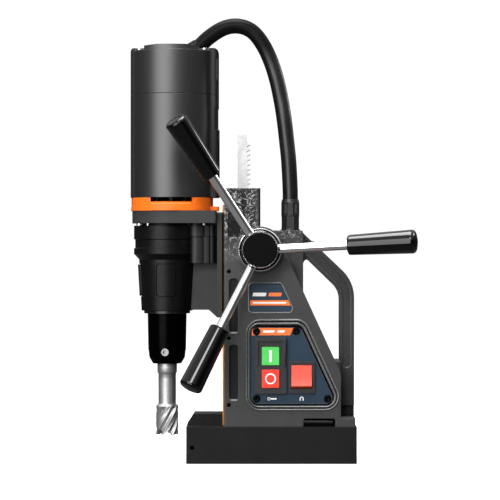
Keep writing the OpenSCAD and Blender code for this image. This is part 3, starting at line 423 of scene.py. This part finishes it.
def lit_lens():
    """Red translucent rocker with a fine ribbed diffuser behind it, and painted shade making its foot darker
    and glow less.
    """
    look = Look("lit_lens", (0.86, 0.09, 0.06), 0.22, Specular_IOR_Level=0.5, Subsurface_Weight=0.25,
                Subsurface_Scale=0.003, Emission_Strength=0.16)
    look.bsdf.inputs["Emission Color"].default_value = (1.0, 0.16, 0.11, 1)
    face = look.mix(look.times(look.waves(160.0, "X"), 0.35), (0.88, 0.10, 0.07), (0.74, 0.06, 0.04))
    # Painted shade: the foot is darker and glows less.
    foot = look.ramp(look.axis("Z"), 0.0751, 0.0747)
    look.set_color(look.mix(foot, face, (0.55, 0.045, 0.004)))
    look.feed(look.bsdf.inputs["Emission Strength"], look.ramp(foot, 0, 1, 0.16, 0.03))
    look.set_roughness(look.ramp(look.noise(4, 2.0), 0.3, 0.7, 0.18, 0.28))
    look.rounded(0.4)
    return look.mat


def copper_winding():
    """Enamelled wire laid in rows."""
    color = (0.62, 0.24, 0.09)
    look = Look("copper_winding", color, 0.32, metallic=0.75)
    rows = look.waves(320.0, "Z", 0.6)
    look.bump(rows, 0.25)
    look.set_color(look.mix(rows, tuple(c * 0.45 for c in color), color))
    look.set_roughness(look.ramp(look.noise(3, 2.0), 0.3, 0.7, 0.25, 0.42))
    return look.mat


def stamped_laminations():
    look = Look("laminations", (0.36, 0.36, 0.37), 0.42, metallic=0.9)
    sheets = look.waves(480.0, "Z", 0.1)
    look.bump(sheets, 0.08)
    look.set_color(look.mix(sheets, (0.16, 0.16, 0.17), (0.4, 0.4, 0.41)))
    return look.mat


def board_mask():
    look = Look("board_mask", (0.01, 0.10, 0.03), 0.3)
    traces = look.ramp(look.cells(3.0, feature="F1"), 0.42, 0.5)
    look.set_color(look.mix(traces, (0.008, 0.085, 0.026), (0.016, 0.15, 0.05)))
    look.set_roughness(look.ramp(look.noise(4, 2.0), 0.3, 0.7, 0.24, 0.38))
    look.rounded(0.2)
    return look.mat


MATERIALS = {
    "cast_paint": cast_paint(),
    "bead_paint": bead_paint(),
    "handle_paint": handle_paint(),
    "bracket_paint": bracket_paint(),
    "magnet_paint": magnet_paint(),
    "motor_plastic": motor_plastic(),
    "gearbox_coat": gearbox_coat(),
    "chrome": polished_chrome("polished_chrome", 0.15),
    "gloss_black": gloss_black(),
    "dotted_cap": dotted_cap(),
    "rubber": rubber_sleeve(),
    "orange": orange_moulding(),
    "blue_film": blue_film(),
    "lens": lit_lens(),
    "black_plastic": moulded("black_plastic", (0.0085, 0.0085, 0.0088), 0.45, Specular_IOR_Level=0.4),
    "switch_black": moulded("switch_black", (0.017, 0.017, 0.0175), 0.36, 0.02, Specular_IOR_Level=0.4),
    "gland_black": moulded("gland_black", (0.012, 0.012, 0.0123), 0.33, Specular_IOR_Level=0.5),
    "screw_black": machined("screw_black", (0.045, 0.045, 0.047), 0.35, "z"),
    "green": moulded("green_button", (0.085, 0.62, 0.11), 0.33, 0.008, 0.5),
    "red": moulded("red_button", (0.96, 0.042, 0.022), 0.33, 0.008, 0.4),
    "white": moulded("white_print", (0.85, 0.85, 0.84), 0.4, 0.004, 0.1),
    "orange_print": moulded("orange_print", (0.88, 0.17, 0.02), 0.4, 0.004, 0.1),
    "rack_steel": machined("rack_steel", (0.50, 0.50, 0.50), 0.5, "y"),
    "slide_steel": machined("slide_steel", (0.38, 0.385, 0.39), 0.33, "z"),
    "bright_steel": machined("bright_steel", (0.80, 0.805, 0.81), 0.35, "x"),
    "cutter_steel": turned_lines("cutter_steel", (0.43, 0.432, 0.43), 0.52, 0.8, 0.002),
    "arbor_black": turned_lines("arbor_black", (0.0005, 0.0005, 0.0006), 0.22, 0.7, 0.0006, 0.0,
                                Specular_IOR_Level=0.02),
    "hub_chrome": hub_finish(),
    "socket_steel": machined("socket_steel", (0.16, 0.162, 0.165), 0.3, "x"),
    # Near black for the gib screws: painted shade of the holes they sit in.
    "deep_black": moulded("deep_black", (0.0012, 0.0012, 0.0013), 0.5, 0.01, Specular_IOR_Level=0.06),
    "gear_steel": machined("gear_steel", (0.5, 0.505, 0.51), 0.3, "z"),
    "bronze": machined("bronze", (0.72, 0.30, 0.085), 0.4, "z"),
    "copper": copper_winding(),
    "laminations": stamped_laminations(),
    "resin": moulded("resin", (0.11, 0.018, 0.012), 0.25, 0.02),
    "board": board_mask(),
    "carbon": moulded("carbon", (0.018, 0.018, 0.018), 0.6, 0.03),
}

# Which material each CAD node wears
WEARS = {
    "cast_paint": ["body_casting", "side_cover"],
    "handle_paint": ["carry_handle"],
    "bracket_paint": ["motor_bracket"],
    "magnet_paint": ["magnet_housing"],
    "motor_plastic": ["motor_housing", "motor_cap"],
    "gearbox_coat": ["gearbox_housing", "gearbox_nose"],
    "chrome": ["spokes"],
    "hub_chrome": ["hub"],
    "gloss_black": ["grips", "panel_screws"],
    "dotted_cap": ["hub_cap"],
    "rubber": ["nose_ring", "motor_gland", "conduit_hose"],
    "orange": ["vent_ring"],
    "blue_film": ["control_panel", "badge_plate"],
    "lens": ["magnet_rocker"],
    "black_plastic": ["shaft_end_cap", "mains_gland", "cooling_fan"],
    "gland_black": ["gland_body", "gland_nut"],
    "switch_black": ["switch_housing", "rocker_bezel"],
    "screw_black": ["base_bolts", "handle_screws", "slide_screws"],
    # Near black for the gib screws: painted shade of the holes they sit in.
    "deep_black": ["gib_screws"],
    "socket_steel": ["arbor_set_screws"],
    "green": ["start_button"],
    "red": ["stop_button"],
    "rack_steel": ["rack"],
    "slide_steel": ["slide", "pinion_shaft"],
    "bright_steel": ["motor_screws", "gearbox_screws", "cover_screws"],
    "arbor_black": ["arbor"],
    "cutter_steel": ["cutter"],
    "gear_steel": ["spindle_gear", "idler_gear", "idler_shaft", "armature_shaft", "ball_bearings"],
    "bronze": ["pinion_bushings", "gib_strip", "brush_holders", "commutator"],
    "copper": ["magnet_coil", "field_coils"],
    "laminations": ["field_stator", "armature_core"],
    "resin": ["magnet_potting"],
    "board": ["control_board"],
    "carbon": ["carbon_brushes"],
}


def dress():
    dressed = set()
    for look, names in WEARS.items():
        for name in names:
            for place in NODES[name].material_slots:
                place.material = MATERIALS[look]
            dressed.add(name)
    assert dressed == set(NODES), set(NODES) ^ dressed


dress()


# ---------------------------------------------------------------- rounding of the CAD pieces

def smoothing():
    """Node group: every face smooth, and only edges over 40 degrees sharp."""
    group = bpy.data.node_groups.new("smoothing", "GeometryNodeTree")
    for way in ("INPUT", "OUTPUT"):
        group.interface.new_socket("Geometry", in_out=way, socket_type="NodeSocketGeometry")
    start = group.nodes.new("NodeGroupInput")
    drop = group.nodes.new("GeometryNodeRemoveAttribute")
    drop.inputs["Name"].default_value = "custom_normal"
    faces = group.nodes.new("GeometryNodeSetShadeSmooth")
    faces.domain = "FACE"
    faces.inputs["Shade Smooth"].default_value = True
    clear = group.nodes.new("GeometryNodeSetShadeSmooth")
    clear.domain = "EDGE"
    clear.inputs["Shade Smooth"].default_value = True
    angle = group.nodes.new("GeometryNodeInputMeshEdgeAngle")
    above = group.nodes.new("FunctionNodeCompare")
    above.inputs["B"].default_value = math.radians(40)
    sharp = group.nodes.new("GeometryNodeSetShadeSmooth")
    sharp.domain = "EDGE"
    sharp.inputs["Shade Smooth"].default_value = False
    end = group.nodes.new("NodeGroupOutput")
    link = group.links.new
    link(start.outputs[0], drop.inputs["Geometry"])
    link(drop.outputs[0], faces.inputs["Geometry"])
    link(faces.outputs[0], clear.inputs["Geometry"])
    link(clear.outputs[0], sharp.inputs["Geometry"])
    link(angle.outputs["Unsigned Angle"], above.inputs["A"])
    link(above.outputs[0], sharp.inputs["Selection"])
    link(sharp.outputs[0], end.inputs[0])
    return group


SMOOTHING = smoothing()


def soften(width, *names):
    """Rounds the sharp edges of CAD nodes by width millimetres."""
    for name in names:
        node = NODES[name]
        weld = node.modifiers.new("weld", "WELD")
        weld.merge_threshold = 0.002 * MM
        flat = node.modifiers.new("flat", "DECIMATE")
        flat.decimate_type = "DISSOLVE"
        flat.angle_limit = math.radians(0.3)
        bevel = node.modifiers.new("bevel", "BEVEL")
        bevel.width = width * MM
        bevel.segments = 2
        bevel.limit_method = "ANGLE"
        bevel.angle_limit = math.radians(30)
        bevel.miter_outer = "MITER_ARC"
        smooth = node.modifiers.new("smooth", "NODES")
        smooth.node_group = SMOOTHING
        weighted = node.modifiers.new("weighted", "WEIGHTED_NORMAL")
        weighted.keep_sharp = True


soften(0.8, "magnet_housing")
soften(0.7, "body_casting")
soften(0.9, "carry_handle")
soften(0.5, "motor_bracket", "vent_ring")
soften(0.45, "motor_housing", "motor_cap", "gearbox_housing", "gearbox_nose")
soften(0.3, "rocker_bezel", "start_button", "stop_button", "magnet_rocker", "hub_cap")
soften(0.2, "arbor")


# ---------------------------------------------------------------- mesh pieces

def piece(name, points, faces, body, look):
    """A mesh from points in metres, which rides on a body."""
    mesh = bpy.data.meshes.new(name)
    mesh.from_pydata(points, [], faces)
    mesh.update()
    shape = bmesh.new()
    shape.from_mesh(mesh)
    bmesh.ops.recalc_face_normals(shape, faces=shape.faces)
    shape.to_mesh(mesh)
    shape.free()
    obj = bpy.data.objects.new(name, mesh)
    bpy.context.scene.collection.objects.link(obj)
    for face in mesh.polygons:
        face.use_smooth = True
    mesh.set_sharp_from_angle(angle=math.radians(40))
    mesh.materials.append(MATERIALS[look])
    if body:
        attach(obj, body)
    return obj


def grid_faces(rows, columns):
    """Quads between rows of points, each row a closed loop."""
    faces = []
    for r in range(rows - 1):
        for c in range(columns):
            here, after = r * columns + c, r * columns + (c + 1) % columns
            faces.append((here, after, after + columns, here + columns))
    return faces


def turned(rows, x, z, steps, axis="Y"):
    """Rings of points from (radius, place) rows, about the Y axis moved to x, z or the Z axis moved to x."""
    points = []
    for r, place in rows:
        for k in range(steps):
            a = 2 * math.pi * k / steps
            if axis == "Y":
                points.append(((x + r * math.cos(a)) * MM, place * MM, (z + r * math.sin(a)) * MM))
            else:
                points.append(((x + r * math.cos(a)) * MM, r * math.sin(a) * MM, place * MM))
    return points


def closed_ring_faces(rows, steps):
    """Quads of a ring whose section is a closed loop of rows."""
    last = (rows - 1) * steps
    closing = [(last + k, last + (k + 1) % steps, (k + 1) % steps, k) for k in range(steps)]
    return grid_faces(rows, steps) + closing


def arc_corner(before, at, after, radius, steps=6):
    """The points of an outline's corner, rounded to a radius."""
    a = (before - at).normalized()
    b = (after - at).normalized()
    half = a.angle(b) / 2
    center = at + (a + b).normalized() * radius / math.sin(half)
    first = at + a * radius / math.tan(half) - center
    last = at + b * radius / math.tan(half) - center
    return [center + first.slerp(last, k / steps).normalized() * radius for k in range(steps + 1)]


def rounded_outline(points, radius, steps=6):
    """An outline with every corner rounded to one radius."""
    points = [Vector((*p, 0)) for p in points]
    out = []
    for i, p in enumerate(points):
        out += arc_corner(points[i - 1], p, points[(i + 1) % len(points)], radius, steps)
    return [(p.x, p.y) for p in out]


# How far a decal's back lies inside the face it sits on
SUNK = 0.05


def decal(name, outline, y, thick, body, look):
    """A thin raised shape on a face that looks along -Y: outline in x and z, in millimetres."""
    n = len(outline)
    points = [(x * MM, (y - thick) * MM, z * MM) for x, z in outline]
    points += [(x * MM, (y + SUNK) * MM, z * MM) for x, z in outline]
    faces = [tuple(range(n)), tuple(range(2 * n - 1, n - 1, -1))]
    faces += [(i, (i + 1) % n, n + (i + 1) % n, n + i) for i in range(n)]
    return piece(name, points, faces, body, look)


def ring_decal(name, x, z, outer, inner, y, thick, body, slot, look, steps=48):
    """A thin raised ring on a face that looks along -Y."""
    rows = [(inner, y + SUNK), (inner, y - thick), (outer, y - thick), (outer, y + SUNK)]
    points = turned(rows, x, z, steps)
    return piece(name, points, closed_ring_faces(len(rows), steps), body, look)


# ---------------------------------------------------------------- conduit

# Points along the conduit's centre, in millimetres, as in the CAD source
HOSE_ROUTE = [
    (18.5, 0, 251.6), (18.3, 0, 263), (17, 0, 288), (15, 1, 308), (12.6, 2, 329), (9.4, 4, 349),
    (5, 5, 369), (-0.7, 6, 386.5), (-7.8, 7, 401.4), (-16.5, 8, 412.9), (-26, 8.5, 418.5),
    (-37, 9, 419.8), (-48.1, 9.5, 416.7), (-59.9, 10, 409.1), (-69, 10, 400.7),
]
HOSE_RADIUS = 7.4
HOSE_END_LEAN = math.radians(47)


def curve_through(points, steps):
    """A smooth line through points, with steps pieces between neighbours."""
    ends = [points[0] * 2 - points[1], *points, points[-1] * 2 - points[-2]]
    line = []
    for a, b, c, d in zip(ends, ends[1:], ends[2:], ends[3:]):
        for k in range(steps):
            t = k / steps
            line.append(0.5 * (2 * b + (c - a) * t + (2 * a - 5 * b + 4 * c - d) * t ** 2
                               + (3 * b - a - 3 * c + d) * t ** 3))
    return line + [points[-1]]


def tube(line, radius, sides, first=None, last=None):
    """Rings of points round a line; first and last are the directions at its ends."""
    rings = []
    for i, p in enumerate(line):
        along = line[min(i + 1, len(line) - 1)] - line[max(i - 1, 0)]
        if i == 0 and first:
            along = first
        if i == len(line) - 1 and last:
            along = last
        side = along.cross(Vector((0, 1, 0))).normalized()
        over = side.cross(along).normalized()
        for k in range(sides):
            a = 2 * math.pi * k / sides
            rings.append(p + radius * (math.cos(a) * side + math.sin(a) * over))
    return rings


def conduit():
    """The sleeve between the two glands; this mesh is fixed and does not bend as the head moves."""
    sides = 40
    line = [p * MM for p in curve_through([Vector(p) for p in HOSE_ROUTE], 8)]
    lean = Vector((-math.sin(HOSE_END_LEAN), 0, -math.cos(HOSE_END_LEAN)))
    rings = tube(line, HOSE_RADIUS * MM, sides, Vector((0, 0, 1)), lean)
    faces = grid_faces(len(line), sides)
    faces += [tuple(range(sides)), tuple(reversed(range(len(rings) - sides, len(rings))))]
    hose = piece("conduit", rings, faces, None, "rubber")
    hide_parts("conduit_hose")
    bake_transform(hose)


conduit()


# ---------------------------------------------------------------- cutter

SPINDLE_X = -100.35
SHANK_R = 9.5
NECK_R = 8.54
NECK_TOP = 83.6
CUTTER_R = 10.8
CUTTER_TIP = 24.8
CUTTER_BORE = 7.2
FLUTES = 6
FLUTE_TOP = 54.8
FLUTE_DEPTH = 2.5
HELIX = 0.058  # radians for each millimetre of height
LAND = 0.46  # share of each flute's pitch that is tooth


def cutter_radius(angle, z):
    """Outer radius of the cutter at an angle and height: six helical flutes below a plain neck."""
    if z > 85:
        return SHANK_R
    if z > FLUTE_TOP:
        return NECK_R + (SHANK_R - NECK_R) * min(1, max(0, (z - NECK_TOP) / 1.4))
    turn = angle - HELIX * (z - CUTTER_TIP)
    phase = (turn * FLUTES / (2 * math.pi)) % 1
    deep = 0.0
    if phase > LAND:
        deep = math.sin(math.pi * (phase - LAND) / (1 - LAND)) ** 0.75
    margin = 0.25 if LAND - 0.12 > phase > 0.1 else 0.0
    run_out = min(1, max(0, (FLUTE_TOP - z) / 5))
    top = NECK_R + (CUTTER_R - NECK_R) * min(1, max(0, (FLUTE_TOP - z) / 2.2))
    return top - margin * run_out - FLUTE_DEPTH * deep * run_out


def cutter_rim(angle):
    """Height of the toothed rim at an angle: six raked teeth with a gullet before each."""
    phase = (angle * FLUTES / (2 * math.pi)) % 1
    if phase < LAND:
        return CUTTER_TIP + 1.3 * phase
    gullet = math.sin(math.pi * (phase - LAND) / (1 - LAND)) ** 0.6
    return CUTTER_TIP + 0.6 + 4.6 * gullet


def cutter():
    """Rows of points from the top of the bore down to the rim, and up the outside to the shank's end."""
    around = 360
    angles = [2 * math.pi * a / around for a in range(around)]
    rims = [cutter_rim(a) for a in angles]
    rows = [[(CUTTER_BORE, z)] * around for z in (60, 50, 42, 36, 31)]
    rows.append([(CUTTER_BORE, rim) for rim in rims])
    shares = [0, 0.02, 0.05, 0.09, 0.14] + [0.2 + 0.8 * k / 30 for k in range(31)]
    for share in shares:
        heights = [rim + (FLUTE_TOP - rim) * share for rim in rims]
        rows.append([(cutter_radius(a, z), z) for a, z in zip(angles, heights)])
    for z in (57, 62, 70, 78, NECK_TOP, 84.1, 84.6, 85.01, 90, 104, 118, 125):
        rows.append([(cutter_radius(0, z), z)] * around)
    rows.append([(SHANK_R - 1, 126)] * around)
    points = []
    for row in rows:
        for a, (r, z) in zip(angles, row):
            points.append(((SPINDLE_X + r * math.cos(a)) * MM, r * math.sin(a) * MM, z * MM))
    faces = grid_faces(len(rows), around)
    faces += [tuple(range(around)), tuple(range(len(points) - around, len(points)))]
    made = piece("annular_cutter", points, faces, "spindle", "cutter_steel")
    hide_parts("cutter")


cutter()


# ---------------------------------------------------------------- beads round the control panel

# Corners of the control panel and the badge plate in x and z, how each corner moves when the outline grows by
# one millimetre, and the radius of the corners
PANEL = {
    "corners": [(-19.4, 57.1), (60.6, 57.1), (27.2, 129.6), (-19.4, 129.6)],
    "growth": [(-0.6, -0.85), (1.5, -0.85), (0.63, 1), (-0.6, 1)],
    "radius": 6,
}
BADGE = {
    "corners": [(-20.4, 144.5), (20.6, 144.5), (8.7, 170.4), (-20.4, 170.4)],
    "growth": [(-1, -1), (1.5, -1), (0.6, 1), (-1, 1)],
    "radius": 3,
}
CASTING_Y = -38.95


def bead_mesh(name, plate, middle, half_width, height, look="bead_paint"):
    """A half-round bead of the casting, that far outside a plate's outline."""
    steps = 12
    rows = []
    for k in range(steps + 1):
        across = math.pi * k / steps
        grown = middle - half_width * math.cos(across)
        moves = zip(plate["corners"], plate["growth"])
        corners = [(x + gx * grown, z + gz * grown) for (x, z), (gx, gz) in moves]
        y = CASTING_Y - height * math.sin(across)
        outline = rounded_outline(corners, plate["radius"] + grown, 12)
        rows += [(x * MM, y * MM, z * MM) for x, z in outline]
    piece(name, rows, grid_faces(steps + 1, len(outline)), "frame", look)


bead_mesh("panel_bead_inner", PANEL, 3.45, 1.25, 1.5)
bead_mesh("panel_bead_outer", PANEL, 6.75, 1.15, 1.3)
bead_mesh("badge_lip", BADGE, 1.2, 0.7, 0.35)
# Black strips of painted shade: round the panel's edge, in the valley between the beads and in the gap round
# the badge.
bead_mesh("panel_edge_shade", PANEL, 1.1, 1.1, 0.16, "gloss_black")
bead_mesh("bead_valley_shade", PANEL, 5.15, 0.6, 0.2, "gloss_black")
bead_mesh("badge_gap_shade", BADGE, 0.25, 0.3, 0.1, "gloss_black")


# ---------------------------------------------------------------- black sleeve of painted shade inside the motor's seam

MOTOR_X = -95.35


def seam_shade_sleeve():
    """A thin black sleeve inside the motor's wall, across the seam under the cap: painted shade that keeps
    the seam dark.
    """
    rows = [(36.0, 348.5), (36.0, 355.5), (35.6, 355.5), (35.6, 348.5)]
    steps = 72
    points = turned(rows, MOTOR_X, 0, steps, "Z")
    faces = closed_ring_faces(len(rows), steps)
    piece("seam_shade_sleeve", points, faces, "carriage", "black_plastic")


seam_shade_sleeve()


# ---------------------------------------------------------------- prints and marks

# Thickness of a print and of a second one on top of it, and the faces that they lie on
PRINT = 0.12
OVERPRINT = 0.06
PANEL_Y = -39.0
BADGE_Y = -38.9
BUTTON_Y = -43.6
# Centres of the two buttons
START = (-0.95, 102.35)
STOP = (-0.95, 80.95)


def box_outline(x0, x1, z0, z1):
    return [(x0, z0), (x1, z0), (x1, z1), (x0, z1)]


def leaning_bar(x0, x1, z0, z1, lean):
    """A bar whose ends lean to the right."""
    return [(x0, z0), (x1 - lean, z0), (x1, z1), (x0 + lean, z1)]


def button_marks():
    """The bar on the start button and the ring on the stop button."""
    x, z = START
    bar = rounded_outline(box_outline(x - 1.3, x + 1.3, z - 5.6, z + 5.6), 0.4)
    decal("start_mark", bar, BUTTON_Y, PRINT, "start_button", "white")
    ring_decal("stop_mark", *STOP, 5.2, 3.9, BUTTON_Y, PRINT, "stop_button", "gloss_black", "white")


def panel_prints():
    """The orange strip between the panel's upper screws, with two plain bars."""
    strip = [(-18.9, 121.9), (17.6, 121.9), (20.6, 128.9), (-16.2, 128.9), (-18.2, 127.4)]
    decal("panel_strip", strip, PANEL_Y, PRINT, "frame", "orange_print")
    for i, (x0, x1) in enumerate([(-8.4, 3.2), (5.2, 12.8)]):
        bar = leaning_bar(x0, x1, 124.5, 126.7, 0.8)
        decal(f"panel_strip_bar_{i}", bar, PANEL_Y - PRINT, OVERPRINT, "frame", "white")


def motor_pictogram():
    """A ring with a shaft to its right."""
    ring_decal("motor_sign", -2.4, 61.7, 1.5, 0.95, PANEL_Y, PRINT, "frame", "blue_label", "white", 32)
    bar = rounded_outline(box_outline(-1.0, 4.8, 61.0, 62.4), 0.3)
    decal("motor_sign_shaft", bar, PANEL_Y, PRINT, "frame", "white")


def magnet_pictogram():
    """A horseshoe with its open end down."""
    x, z, steps = 28.6, 61.9, 14
    outer_r, inner_r = 1.9, 0.95
    angles = [math.pi * k / steps for k in range(steps + 1)]
    outer = [(x + outer_r * math.cos(a), z + outer_r * math.sin(a)) for a in angles]
    inner = [(x + inner_r * math.cos(a), z + inner_r * math.sin(a)) for a in reversed(angles)]
    foot = z - outer_r
    outline = [(x + outer_r, foot), *outer, (x - outer_r, foot)]
    outline += [(x - inner_r, foot), *inner, (x + inner_r, foot)]
    decal("magnet_sign", outline, PANEL_Y, PRINT, "frame", "white")


def badge_prints():
    """An orange stripe with a plain line on it, and two leaning bars above."""
    stripe = [(-20.2, 150.2), (18.8, 150.2), (16.9, 155.2), (-20.2, 155.2)]
    decal("badge_stripe", stripe, BADGE_Y, PRINT, "frame", "orange_print")
    line = rounded_outline(box_outline(-17.9, 13.9, 151.9, 153.5), 0.5)
    decal("badge_line", line, BADGE_Y - PRINT, OVERPRINT, "frame", "white")
    for i, (x0, x1, look) in enumerate([(-18.2, -4.6, "white"), (-3.2, 9.8, "orange_print")]):
        bar = rounded_outline(leaning_bar(x0, x1, 158.9, 162.3, 0.9), 0.5)
        decal(f"badge_bar_{i}", bar, BADGE_Y, PRINT, "frame", look)


button_marks()
panel_prints()
motor_pictogram()
magnet_pictogram()
badge_prints()


# ---------------------------------------------------------------- floor and light

def add_floor():
    """A pale disc that the camera sees as white and that lights nothing."""
    bpy.ops.mesh.primitive_circle_add(vertices=96, radius=12, fill_type="NGON", location=(0, 0, -0.0004))
    floor = bpy.context.object
    floor.name = "floor"
    look = Look("floor", (0.5, 0.5, 0.5), 0.9, Specular_IOR_Level=0.0, Emission_Strength=0.95)
    look.bsdf.inputs["Emission Color"].default_value = (1, 1, 1, 1)
    look.set_color(look.mix(look.noise(300, 2.0), (0.49, 0.49, 0.49), (0.5, 0.5, 0.5)))
    floor.data.materials.append(look.mat)
    floor.visible_diffuse = False
    floor.visible_glossy = False


def add_world():
    """Soft studio surroundings: white to the eye; as light dim, with a bright ceiling and a pale floor."""
    world = bpy.data.worlds.new("studio")
    world.use_nodes = True
    tree = world.node_tree
    path = tree.nodes.new("ShaderNodeLightPath")
    shade = tree.nodes["Background"]
    shade.inputs["Color"].default_value = (1, 1, 1, 1)
    shade.inputs["Strength"].default_value = 0.2
    heading = tree.nodes.new("ShaderNodeSeparateXYZ")
    tree.links.new(tree.nodes.new("ShaderNodeTexCoord").outputs["Generated"], heading.inputs[0])
    surroundings = tree.nodes.new("ShaderNodeMath")
    for i, (low, high, start, end) in enumerate([(0.08, 0.6, 0.03, 1.1), (-0.05, -0.35, 0.02, 0.2)]):
        part = tree.nodes.new("ShaderNodeMapRange")
        part.interpolation_type = "SMOOTHSTEP"
        for key, value in (("From Min", low), ("From Max", high), ("To Min", start), ("To Max", end)):
            part.inputs[key].default_value = value
        tree.links.new(heading.outputs["Z"], part.inputs["Value"])
        tree.links.new(part.outputs[0], surroundings.inputs[i])
    for output, strength in (("Is Glossy Ray", surroundings.outputs[0]), ("Is Camera Ray", 1.05)):
        other = tree.nodes.new("ShaderNodeBackground")
        other.inputs["Color"].default_value = (1, 1, 1, 1)
        if isinstance(strength, float):
            other.inputs["Strength"].default_value = strength
        else:
            tree.links.new(strength, other.inputs["Strength"])
        choose = tree.nodes.new("ShaderNodeMixShader")
        tree.links.new(path.outputs[output], choose.inputs[0])
        tree.links.new(shade.outputs[0], choose.inputs[1])
        tree.links.new(other.outputs[0], choose.inputs[2])
        shade = choose
    tree.links.new(shade.outputs[0], tree.nodes["World Output"].inputs["Surface"])
    bpy.context.scene.world = world


def add_panel(name, place, size, power, target=(-0.02, 0, 0.21)):
    """A soft box that faces the machine."""
    data = bpy.data.lights.new(name, "AREA")
    data.shape = "RECTANGLE"
    data.size, data.size_y = size
    data.energy = power
    lamp = bpy.data.objects.new(name, data)
    lamp.location = place
    lamp.rotation_euler = (Vector(target) - Vector(place)).to_track_quat("-Z", "Y").to_euler()
    bpy.context.scene.collection.objects.link(lamp)


add_floor()
add_world()
add_panel("overhead", (-0.15, -0.15, 1.95), (1.2, 1.2), 75)
add_panel("softbox", (-0.90, -1.70, 0.45), (1.4, 1.7), 45)
add_panel("strip", (-0.13, -1.36, 1.05), (0.45, 0.3), 9, (-0.065, -0.08, 0.10))  # the sheen on the lower grip
add_panel("rim", (1.7, 1.0, 0.95), (0.35, 0.35), 6)
